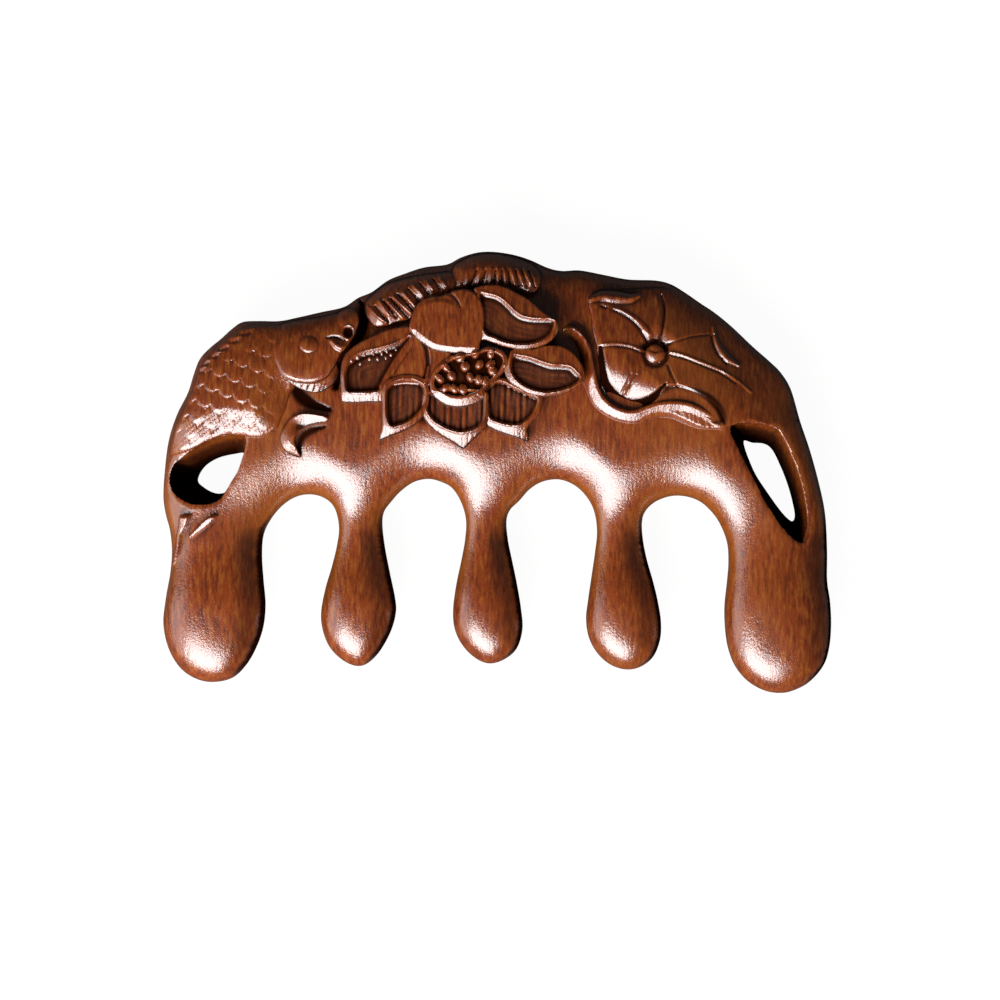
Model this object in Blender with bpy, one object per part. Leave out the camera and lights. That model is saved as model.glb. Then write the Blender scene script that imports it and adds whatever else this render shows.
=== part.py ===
"""Wide-tooth massage comb, carved with a lotus, a carp and a lotus leaf.

The comb lies on its flat rear face. X runs along the back from the fish to the leaf,
-Y is the way the teeth point, and the carved face looks up, along +Z.
The origin is under the middle of the comb's box, on the face it rests on.

Outlines are drawn on a grid of units: GRID_WIDTH units span COMB_WIDTH and
GRID_HEIGHT units span COMB_HEIGHT, with y counted downwards from the grid's top.
"""

import math

import bmesh
import bpy

# Overall sizes, in metres
COMB_WIDTH = 0.110
COMB_HEIGHT = 0.0727
MID_PLANE = 0.0070
BACK_FRONT_DEPTH = 0.0062
BACK_REAR_DEPTH = 0.0084
SEAT_GAP = 0.0003
CUT_OVERRUN = 0.003

# Drawing grid
GRID_WIDTH = 669
GRID_HEIGHT = 442
GRID_CENTRE = (497, 471.5)
UNIT_ACROSS = COMB_WIDTH / GRID_WIDTH
UNIT_UP = COMB_HEIGHT / GRID_HEIGHT

# Teeth: widths across, depths through
MIDDLE_NECK_WIDTH = 0.0071
MIDDLE_BULB_WIDTH = 0.0119
MIDDLE_BULB_DEPTH = 0.0112
LEFT_END_NECK_WIDTH = 0.0150
LEFT_END_BULB_WIDTH = 0.0168
RIGHT_END_NECK_WIDTH = 0.0163
RIGHT_END_BULB_WIDTH = 0.0176
END_BULB_DEPTH = 0.0139
ROOT_TOP_DEPTH = 0.0094
ROOT_CROWN_DEPTH = 0.0104

# How far the carving rises above the ground, the crowned front of the back
FISH_BODY_RISE = 0.0024
FISH_BODY_EDGE_RISE = 0.0009
FISH_HEAD_RISE = 0.0030
FISH_HEAD_EDGE_RISE = 0.0012
FISH_EYE_RISE = 0.0006
FISH_FIN_RISE = 0.0014
FISH_TAIL_RISE = 0.0012
PETAL_RISE = 0.0036
PETAL_TIP_DROP = 0.0014
PETAL_HOLLOW = 0.0018
BUD_RISE = 0.0054
BUD_EDGE_RISE = 0.0022
POD_RISE = 0.0040
POD_RIM = 0.0007
ROLL_AXIS_HEIGHT = 0.0104
ROLL_DEPTH = 0.0116
ROLL_RIB = 0.0003
LEAF_RISE = 0.0018
LEAF_HOLLOW = 0.0010
LEAF_VEIN = 0.0005
LEAF_BOSS = 0.0009
STEM_RISE = 0.0022
STEM_WIDTH = 0.0019
CARVING_ROOT = 0.0012
CARVING_CLEARANCE = 0.0100

# Edge of the comb's back, upper and lower, as grid points from left to right
BACK_TOP_GRID = [
    (164, 497), (167, 476), (172, 427), (185, 400), (199, 369), (220, 341), (241, 325),
    (275, 322), (310, 316), (344, 309), (373, 297), (400, 285), (449, 273), (485, 260),
    (519, 262), (545, 267), (579, 271), (620, 277), (659, 283), (685, 293), (718, 315),
    (750, 343), (779, 370), (795, 408), (812, 464), (824, 512), (828, 536),
]
BACK_BOTTOM_GRID = [
    (164, 505), (167, 516), (175, 520), (215, 518), (255, 508), (285, 498.5), (306, 495.5),
    (340, 490), (365, 486), (395, 482), (427, 479), (490, 477), (556, 479), (590, 482),
    (620, 486), (650, 490), (684, 495), (705, 499), (728, 508), (760, 526), (800, 541),
    (824, 541), (828, 538),
]
BACK_STATIONS_GRID = [
    164.4, 166, 169, 174, 181, 190, 199, 209, 220, 231, 243, 259, 278, 300, 325, 350, 375,
    400, 425, 450, 475, 500, 525, 550, 575, 600, 625, 650, 675, 698, 718, 735, 750, 765,
    779, 791, 801, 810, 817, 822.5, 826, 827.6,
]
BACK_END_ROUND_GRID = 22
SECTION_POINTS = 24
TOP_ROUNDNESS = 2.7
BOTTOM_ROUNDNESS = 2.2
FRONT_ROUNDNESS = 2.2
REAR_ROUNDNESS = 2.6

# Teeth: widths of neck and bulb and the bulb's depth, then the seam's height, neck, bulb and tip on the grid
MIDDLE_TOOTH = {"widths": (MIDDLE_NECK_WIDTH, MIDDLE_BULB_WIDTH), "depth": MIDDLE_BULB_DEPTH}
LEFT_TOOTH = {"widths": (LEFT_END_NECK_WIDTH, LEFT_END_BULB_WIDTH), "depth": END_BULB_DEPTH}
RIGHT_TOOTH = {"widths": (RIGHT_END_NECK_WIDTH, RIGHT_END_BULB_WIDTH), "depth": END_BULB_DEPTH}
TEETH_GRID = {
    "tooth_1": {**LEFT_TOOTH, "seam": 552, "neck": 217.5, "bulb": (214, 612), "tip": (210, 682)},
    "tooth_2": {**MIDDLE_TOOTH, "seam": 530, "neck": 360.5, "bulb": (359.5, 608), "tip": (358, 667)},
    "tooth_3": {**MIDDLE_TOOTH, "seam": 528, "neck": 486.5, "bulb": (487.5, 606), "tip": (490, 662)},
    "tooth_4": {**MIDDLE_TOOTH, "seam": 530, "neck": 619, "bulb": (624, 612), "tip": (627, 669)},
    "tooth_5": {**RIGHT_TOOTH, "seam": 555, "neck": 777.5, "bulb": (777.5, 622), "tip": (779, 692)},
}
# The tops of the four arches between the teeth, with the outer corner at each end
ARCH_TOPS_GRID = [(167, 498), (306, 495.5), (427, 479), (556, 479), (684, 495), (821, 498)]
ROOT_CROWN_RISES_GRID = (22, 46)
ROOT_CROWN_WIDTH_SHARES = (0.92, 0.6)
TOOTH_RINGS = 7
TIP_RINGS = 6
FLARE_RINGS = 5
TOOTH_POINTS = 20

# Pierced holes: the opening that goes through, and the wider rim at the front
LEFT_OPENING_GRID = [(242, 454), (229, 456), (213, 461), (199, 471), (196, 481), (206, 490), (219, 493), (231, 483)]
LEFT_RIM_GRID = [(250, 440), (229, 440), (203, 448), (179, 462), (172, 478), (180, 497), (205, 505), (232, 490)]
RIGHT_OPENING_GRID = [(744, 443), (757, 443), (770, 447), (781, 466), (794, 500), (796, 520), (786, 517), (757, 472)]
RIGHT_RIM_GRID = [(733, 440), (752, 438), (771, 441), (785, 466), (798, 500), (802, 541), (784, 534), (748, 480)]
HOLE_POINTS = 20
HOLE_NECK_SHARE = 0.35
HOLE_RIM_SHARE = 0.92

# Carved forms: spine points on the grid, with the half width there
FISH_BODY_GRID = [(292, 364, 39), (262, 379, 45), (232, 398, 41), (204, 418, 31), (184, 437, 16)]
FISH_HEAD_GRID = [(290, 352, 24), (306, 352, 31), (325, 347, 29), (341, 338, 19), (352, 331, 9)]
FISH_EYE_GRID = (314.5, 346)
FISH_EYE_RADIUS_GRID = 10
EYE_SEGMENTS = 12
FISH_FIN_GRID = [(327, 420, 3), (305, 418, 5), (290, 429, 7), (292, 445, 6), (303, 455, 3)]
FISH_TAIL_GRID = [(174, 499, 6), (180, 509, 10), (187, 519, 14), (193, 529, 17)]
PETALS_GRID = {
    "petal_upper_right": {"spine": [(484, 316, 19), (505, 323, 26), (530, 328, 22), (554, 328, 5)], "drop": 0.35},
    "petal_right": {"spine": [(505, 366, 12), (530, 374, 21), (557, 380, 18), (581, 382, 5)], "drop": 0.7},
    "petal_bottom": {"spine": [(457, 388, 25), (457, 408, 31), (461, 429, 22), (466, 448, 4)], "drop": 1.3},
    "petal_lower_right": {"spine": [(501, 383, 15), (512, 399, 25), (520, 417, 21), (528, 436, 5)], "drop": 1.1},
    "petal_lower_left": {"spine": [(428, 384, 9), (411, 397, 18), (397, 414, 19), (384, 433, 6)], "drop": 1.1},
    "petal_inner_left": {"spine": [(436, 346, 7), (420, 361, 14), (404, 376, 12), (392, 387, 5)], "drop": 0.3},
    "petal_upper_left": {"spine": [(428, 340, 9), (403, 350, 22), (374, 364, 32), (348, 381, 17)], "drop": 0.7},
}
BUD_GRID = {"centre": (449, 323), "radii": (35, 30), "tilt": 0}
POD_GRID = {"centre": (469.5, 377.5), "radii": (38.5, 22), "tilt": 27}
ROLLS_GRID = {
    "rolled_leaf_left": [(368, 306, 6), (386, 303, 19), (410, 295, 22), (434, 283, 17), (453, 279, 8)],
    "rolled_leaf_right": [(457, 275, 8), (475, 271, 16), (500, 270, 17), (522, 276, 17), (541, 286, 7)],
}
OVAL_POINTS = 28
ROLL_RIBS = 6
ROLL_STATIONS = 4 * ROLL_RIBS + 1
ROLL_POINTS = 12
LEAF_BOSS_GRID = (653, 356)
LEAF_EDGE_GRID = [
    (777, 402), (768, 420), (744, 413), (726, 420), (707, 403), (687, 391), (668, 392),
    (648, 400), (622, 402), (607, 394), (600, 370), (597, 345), (592, 318), (601, 298),
    (630, 291), (660, 294), (688, 302), (714, 320), (740, 346), (764, 374),
]
LEAF_VEIN_DEGREES = (172, 140, 88, 30, -20, -62, -125)
LEAF_VEIN_SPREAD_DEGREES = 7
LEAF_EDGE_POINTS = 56
# Rings of the round forms, from the centre out; the pod's rim and the leaf's boss lie between two of them
BUD_RING_SHARES = (0, 0.3, 0.55, 0.75, 0.9, 1)
POD_RING_SHARES = (0, 0.78, 0.84, 1)
POD_RIM_SHARE = 0.8
LEAF_RING_SHARES = (0, 0.12, 0.2, 0.4, 0.6, 0.8, 0.93, 1)
LEAF_BOSS_SHARE = 0.15
LEAF_VEIN_END_SHARE = 0.95
STEM_GRID = [
    (563, 334), (580, 345), (590, 363), (592, 385), (601, 403), (619, 413), (641, 413),
    (663, 407), (684, 409), (703, 418), (717, 429), (730, 431), (743, 425), (757, 426), (768, 430),
]

# Section of a fish fin and of the stem: how far the edges drop, in shares of STEM_WIDTH
FIN_DROP_SHARE = 0.33
STEM_DROP_SHARE = 0.5
# Cup of a petal: how steep its sides are, how late its tip turns up, and where its hollow begins
PETAL_SIDE_POWER = 2.5
PETAL_TIP_POWER = 4
PETAL_HOLLOW_START_SHARE = 0.3
SMOOTH_DEGREES = 50

WOOD_COLOUR = (0.235, 0.062, 0.018, 1)
WOOD_ROUGHNESS = 0.32


def at(grid_x, grid_y):
    """The place in metres of a point on the drawing grid."""
    return (grid_x - GRID_CENTRE[0]) * UNIT_ACROSS, (GRID_CENTRE[1] - grid_y) * UNIT_UP


def smooth(points, count, closed=False):
    """A Catmull-Rom curve through the points, read at count places."""
    spans = len(points) if closed else len(points) - 1
    read = []
    for step in range(count):
        along = step * spans / (count if closed else count - 1)
        index = min(int(along), spans - 1)
        t = along - index
        if closed:
            a, b, c, d = (points[(index + k) % len(points)] for k in (-1, 0, 1, 2))
        else:
            a, b, c, d = (points[max(0, min(len(points) - 1, index + k))] for k in (-1, 0, 1, 2))
        weights = (
            (-t + 2 * t * t - t**3) / 2,
            (2 - 5 * t * t + 3 * t**3) / 2,
            (t + 4 * t * t - 3 * t**3) / 2,
            (t**3 - t * t) / 2,
        )
        read.append(tuple(sum(w * p[k] for w, p in zip(weights, (a, b, c, d))) for k in range(len(b))))
    return read


def height_on(edge, grid_x):
    """The y on the grid of an edge at this x, on a smooth curve through its points."""
    spans = list(zip(edge, edge[1:]))
    index = next((k for k, (_, right) in enumerate(spans) if grid_x <= right[0]), len(spans) - 1)
    (x0, y0), (x1, y1) = spans[index]
    slopes = []
    for end in (index, index + 1):
        before, after = edge[max(0, end - 1)], edge[min(len(edge) - 1, end + 1)]
        slopes.append((after[1] - before[1]) / (after[0] - before[0]))
    t = (grid_x - x0) / (x1 - x0)
    rise = (x1 - x0) * (t * (1 - t) ** 2 * slopes[0] - t * t * (1 - t) * slopes[1])
    return y0 + (y1 - y0) * t * t * (3 - 2 * t) + rise


def power(value, share):
    """value to the power share, with its sign kept."""
    return math.copysign(abs(value) ** share, value)


def wood_material(name):
    """Lacquered reddish-brown hardwood."""
    material = bpy.data.materials.new(name)
    material.use_nodes = True
    shader = material.node_tree.nodes["Principled BSDF"]
    shader.inputs["Base Color"].default_value = WOOD_COLOUR
    shader.inputs["Roughness"].default_value = WOOD_ROUGHNESS
    shader.inputs["Metallic"].default_value = 0
    material.diffuse_color = WOOD_COLOUR
    return material


def sheet(rows):
    """A bmesh grid with its corners moved to the points in rows, and equal corners welded."""
    bm = bmesh.new()
    bmesh.ops.create_grid(bm, x_segments=len(rows[0]) - 1, y_segments=len(rows) - 1, size=1)
    bm.verts.ensure_lookup_table()
    places = [place for row in rows for place in row]
    for vertex, place in zip(bm.verts, places):
        vertex.co = place
    bmesh.ops.remove_doubles(bm, verts=bm.verts, dist=SEAT_GAP / 100)
    bmesh.ops.dissolve_degenerate(bm, edges=bm.edges, dist=SEAT_GAP / 100)
    return bm


def close(bm):
    """Fills the open ends and turns the faces outwards."""
    bmesh.ops.holes_fill(bm, edges=[edge for edge in bm.edges if edge.is_boundary], sides=0)
    bmesh.ops.recalc_face_normals(bm, faces=bm.faces)


def add_object(name, bm, collection):
    mesh = bpy.data.meshes.new(name)
    bm.to_mesh(mesh)
    bm.free()
    mesh.shade_smooth()
    mesh.set_sharp_from_angle(angle=math.radians(SMOOTH_DEGREES))
    piece = bpy.data.objects.new(name, mesh)
    collection.objects.link(piece)
    if collection.name == "cutters":
        piece.hide_render = True
        piece.display_type = "WIRE"
    else:
        mesh.materials.append(wood_material(name))
    return piece


def boolean(piece, other, operation):
    modifier = piece.modifiers.new(f"{operation.lower()} {other.name}", "BOOLEAN")
    modifier.operation = operation
    modifier.solver = "EXACT"
    modifier.object = other


def applied(piece):
    """The same object, with its modifiers made part of its mesh."""
    graph = bpy.context.evaluated_depsgraph_get()
    mesh = bpy.data.meshes.new_from_object(piece.evaluated_get(graph))
    piece.modifiers.clear()
    piece.data = mesh
    return piece


def tube(name, rings, collection):
    """A closed body through rings of points."""
    bm = sheet([ring + ring[:1] for ring in rings])
    close(bm)
    return add_object(name, bm, collection)


def raised_form(name, rows, collection):
    """A carved form: its top surface, with walls that reach a little way into the back."""
    bm = sheet(rows)
    rim = [edge for edge in bm.edges if edge.is_boundary]
    walls = bmesh.ops.extrude_edge_only(bm, edges=rim)
    for item in walls["geom"]:
        if isinstance(item, bmesh.types.BMVert):
            item.co.z = max(MID_PLANE, ground(item.co.x, item.co.y) - CARVING_ROOT)
    close(bm)
    return add_object(name, bm, collection)


def back_at(station):
    """The back's middle and half height at a station, and the share of its depth that it has there."""
    _, y_top = at(station, height_on(BACK_TOP_GRID, station))
    _, y_bottom = at(station, height_on(BACK_BOTTOM_GRID, station))
    inward = min(station - BACK_STATIONS_GRID[0], BACK_STATIONS_GRID[-1] - station) + 1
    full = math.sqrt(1 - max(0, 1 - inward / BACK_END_ROUND_GRID) ** 2)
    return (y_top + y_bottom) / 2, (y_top - y_bottom) / 2, full


def ground(x, y):
    """The height of the back's crowned front."""
    station = GRID_CENTRE[0] + x / UNIT_ACROSS
    station = min(max(station, BACK_STATIONS_GRID[0]), BACK_STATIONS_GRID[-1])
    middle, half, full = back_at(station)
    across = min(1, abs(y - middle) / half)
    roundness = TOP_ROUNDNESS if y > middle else BOTTOM_ROUNDNESS
    return MID_PLANE + BACK_FRONT_DEPTH * full * (1 - across**roundness) ** (1 / FRONT_ROUNDNESS)


def back_ring(station, grow):
    """One section of the comb's back, square to its length."""
    middle, half, full = back_at(station)
    half += grow
    x, _ = at(station, 0)
    if station in (BACK_STATIONS_GRID[0], BACK_STATIONS_GRID[-1]):
        x += math.copysign(grow, x)
    ring = []
    for k in range(SECTION_POINTS):
        angle = 2 * math.pi * k / SECTION_POINTS
        across, through = math.cos(angle), math.sin(angle)
        edge_share = 2 / (TOP_ROUNDNESS if across > 0 else BOTTOM_ROUNDNESS)
        face_share = 2 / (FRONT_ROUNDNESS if through > 0 else REAR_ROUNDNESS)
        depth = BACK_FRONT_DEPTH if through > 0 else BACK_REAR_DEPTH
        z = MID_PLANE + power(through, face_share) * (depth * full + grow)
        ring.append((x, middle + half * power(across, edge_share), max(z, -grow)))
    return ring


def back_blank(name, grow, collection):
    return tube(name, [back_ring(station, grow) for station in BACK_STATIONS_GRID], collection)


def oval(left, right, half_depth):
    """A ring of a tooth or its root, from its left point to its right one."""
    ring = []
    for k in range(TOOTH_POINTS):
        angle = 2 * math.pi * k / TOOTH_POINTS
        share = (1 + math.cos(angle)) / 2
        x, y = (a + (b - a) * share for a, b in zip(left, right))
        ring.append((x, y, MID_PLANE + half_depth * math.sin(angle)))
    return ring


def level_oval(centre_x, y, half_width, half_depth):
    return oval((centre_x - half_width, y), (centre_x + half_width, y), half_depth)


def tooth_sizes(tooth):
    """Neck half width, bulb half width and the depth through for each width across."""
    neck_width, bulb_width = tooth["widths"]
    return neck_width / 2, bulb_width / 2, tooth["depth"] / bulb_width


def tooth_rings(tooth):
    """Rings from the seam with the back, over the bulb, to the tip."""
    neck, bulb, depth_share = tooth_sizes(tooth)
    neck_x, seam_y = at(tooth["neck"], tooth["seam"])
    bulb_x, bulb_y = at(*tooth["bulb"])
    tip_x, tip_y = at(*tooth["tip"])
    seam_y -= SEAT_GAP
    rings = []
    for k in range(TOOTH_RINGS):
        share = k / TOOTH_RINGS
        ease = share * share * (3 - 2 * share)
        half = neck + (bulb - neck) * ease
        centre = neck_x + (bulb_x - neck_x) * ease
        rings.append(level_oval(centre, seam_y + (bulb_y - seam_y) * share, half, half * depth_share))
    for k in range(TIP_RINGS + 1):
        angle = math.pi / 2 * k / TIP_RINGS
        half = bulb * max(math.cos(angle), 0)
        centre = bulb_x + (tip_x - bulb_x) * math.sin(angle)
        rings.append(level_oval(centre, bulb_y + (tip_y - bulb_y) * math.sin(angle), half, half * depth_share))
    return rings


def root_rings(tooth, arches, grow):
    """Rings from the seam up into the back, flaring into the arches beside the tooth."""
    neck, _, depth_share = tooth_sizes(tooth)
    neck_x, seam_y = at(tooth["neck"], tooth["seam"])
    low_depth = neck * depth_share
    rings = []
    for k in range(FLARE_RINGS + 1):
        angle = math.pi / 2 * k / FLARE_RINGS
        out, up = 1 - math.cos(angle), math.sin(angle)
        sides = []
        for side, arch in zip((-1, 1), arches):
            arch_x, arch_y = at(*arch)
            edge_x = neck_x + side * neck
            sides.append((edge_x + (arch_x - edge_x) * out + side * grow, seam_y + (arch_y - seam_y) * up))
        rings.append(oval(*sides, low_depth + (ROOT_TOP_DEPTH / 2 - low_depth) * out + grow))
    (left, low_left), (right, low_right) = sides
    for rise, width_share in zip(ROOT_CROWN_RISES_GRID, ROOT_CROWN_WIDTH_SHARES):
        inset = (right - left) * (1 - width_share) / 2
        up = rise * UNIT_UP
        ends = (left + inset, low_left + up), (right - inset, low_right + up)
        rings.append(oval(*ends, ROOT_CROWN_DEPTH / 2 + grow))
    return rings


def hole_cutter(name, opening_grid, rim_grid, collection):
    """A cutter with the opening's outline behind and the wider rim's in front."""
    narrow = smooth([at(*point) for point in opening_grid], HOLE_POINTS, closed=True)
    broad = smooth([at(*point) for point in rim_grid], HOLE_POINTS, closed=True)
    front = MID_PLANE + BACK_FRONT_DEPTH
    levels = (
        (-CUT_OVERRUN, narrow),
        (front * HOLE_NECK_SHARE, narrow),
        (front * HOLE_RIM_SHARE, broad),
        (MID_PLANE + BACK_FRONT_DEPTH + CARVING_CLEARANCE, broad),
    )
    return tube(name, [[(x, y, z) for x, y in outline] for z, outline in levels], collection)


def spine_stations(spine_grid, stations):
    """Places along a spine on the grid: how far along, the point, the sideways direction, the half width."""
    spine = smooth(spine_grid, stations)
    for index, (x, y, half) in enumerate(spine):
        before, after = spine[max(0, index - 1)], spine[min(len(spine) - 1, index + 1)]
        run, rise = after[0] - before[0], after[1] - before[1]
        length = math.hypot(run, rise)
        yield index / (stations - 1), (x, y), (-rise / length, run / length), half


def blade_rows(spine_grid, stations, columns, rise_at):
    """Rows of points across a carved form on a spine; rise_at(along, across) is its rise from the ground."""
    rows = []
    for along, (x, y), (side_x, side_y), half in spine_stations(spine_grid, stations):
        row = []
        for k in range(columns):
            across = 2 * k / (columns - 1) - 1
            place = at(x + side_x * half * across, y + side_y * half * across)
            row.append((*place, ground(*place) + rise_at(along, across)))
        rows.append(row)
    return rows


def roll_rings(spine_grid):
    """Oval rings round the spine of a rolled leaf, in and out at its ribs."""
    rings = []
    broadest = max(point[2] for point in spine_grid)
    for along, (x, y), (side_x, side_y), half in spine_stations(spine_grid, ROLL_STATIONS):
        rib = ROLL_RIB * math.cos(2 * math.pi * ROLL_RIBS * along)
        ring = []
        for k in range(ROLL_POINTS):
            angle = 2 * math.pi * k / ROLL_POINTS
            out = half * math.cos(angle)
            edge_x, edge_y = at(x + side_x * out, y + side_y * out)
            ribbed = rib * math.cos(angle)
            up = (ROLL_DEPTH / 2 * half / broadest + rib) * math.sin(angle)
            ring.append((edge_x + side_x * ribbed, edge_y - side_y * ribbed, ROLL_AXIS_HEIGHT + up))
        rings.append(ring)
    return rings


def disc_rows(edge, centre, ring_shares, rise_at):
    """Rings of points from the centre of a carved form to its edge, at their rise from the ground."""
    rows = []
    for share in ring_shares:
        row = []
        for index, (x, y) in enumerate(edge):
            place = (centre[0] + (x - centre[0]) * share, centre[1] + (y - centre[1]) * share)
            row.append((*place, ground(*place) + rise_at(share, index / len(edge))))
        rows.append(row + row[:1])
    return rows


def oval_edge(form, points):
    """The edge of an oval form on the grid, turned by its tilt."""
    tilt = math.radians(form["tilt"])
    centre_x, centre_y = form["centre"]
    half_long, half_short = form["radii"]
    edge = []
    for k in range(points):
        angle = 2 * math.pi * k / points
        along, across = half_long * math.cos(angle), half_short * math.sin(angle)
        turned_x = along * math.cos(tilt) - across * math.sin(tilt)
        turned_y = along * math.sin(tilt) + across * math.cos(tilt)
        edge.append(at(centre_x + turned_x, centre_y - turned_y))
    return edge


def eye_disc(name, collection):
    """The fish's eye, a low dome on its head."""
    x, y = at(*FISH_EYE_GRID)
    radius = FISH_EYE_RADIUS_GRID * UNIT_ACROSS
    bm = bmesh.new()
    bmesh.ops.create_uvsphere(bm, u_segments=EYE_SEGMENTS, v_segments=EYE_SEGMENTS // 2, radius=1)
    bmesh.ops.scale(bm, vec=(radius, radius, FISH_EYE_RISE * 2), verts=bm.verts)
    bmesh.ops.translate(bm, vec=(x, y, ground(x, y) + FISH_HEAD_RISE - FISH_EYE_RISE), verts=bm.verts)
    return add_object(name, bm, collection)


def outline_of_blade(rows):
    """The outer edge of a blade's rows, once round."""
    left = [row[0][:2] for row in rows]
    right = [row[-1][:2] for row in rows]
    tip = [point[:2] for point in rows[-1][1:-1]]
    root = [point[:2] for point in rows[0][1:-1]]
    return left + tip + right[::-1] + root[::-1]


def curtain(name, outline, collection):
    """A cutter over the whole height of the carving, SEAT_GAP outside the outline."""
    area = sum(a[0] * b[1] - b[0] * a[1] for a, b in zip(outline, outline[1:] + outline[:1]))
    side = math.copysign(SEAT_GAP, area)
    grown = []
    for index, (x, y) in enumerate(outline):
        before, after = outline[index - 1], outline[(index + 1) % len(outline)]
        run, rise = after[0] - before[0], after[1] - before[1]
        length = math.hypot(run, rise)
        grown.append((x + rise / length * side, y - run / length * side))
    levels = (MID_PLANE - CUT_OVERRUN, MID_PLANE + BACK_FRONT_DEPTH + CARVING_CLEARANCE)
    return tube(name, [[(x, y, z) for x, y in grown] for z in levels], collection)


def build():
    for item in list(bpy.data.objects):
        bpy.data.objects.remove(item)
    comb = bpy.data.collections.new("massage_comb")
    cutters = bpy.data.collections.new("cutters")
    for collection in (comb, cutters):
        bpy.context.scene.collection.children.link(collection)

    left_hole = hole_cutter("left_hole", LEFT_OPENING_GRID, LEFT_RIM_GRID, cutters)
    right_slot = hole_cutter("right_slot", RIGHT_OPENING_GRID, RIGHT_RIM_GRID, cutters)

    back = back_blank("carved_back", 0, comb)
    seat = back_blank("back_seat", SEAT_GAP, cutters)
    for (name, tooth), arches in zip(TEETH_GRID.items(), zip(ARCH_TOPS_GRID, ARCH_TOPS_GRID[1:])):
        tube(name, tooth_rings(tooth), comb)
        boolean(back, tube(f"{name}_root", root_rings(tooth, arches, 0), cutters), "UNION")
        boolean(seat, tube(f"{name}_seat", root_rings(tooth, arches, SEAT_GAP), cutters), "UNION")
    boolean(back, left_hole, "DIFFERENCE")
    boolean(back, right_slot, "DIFFERENCE")
    seat = applied(seat)

    carve(comb, cutters, seat, left_hole, right_slot)


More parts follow.
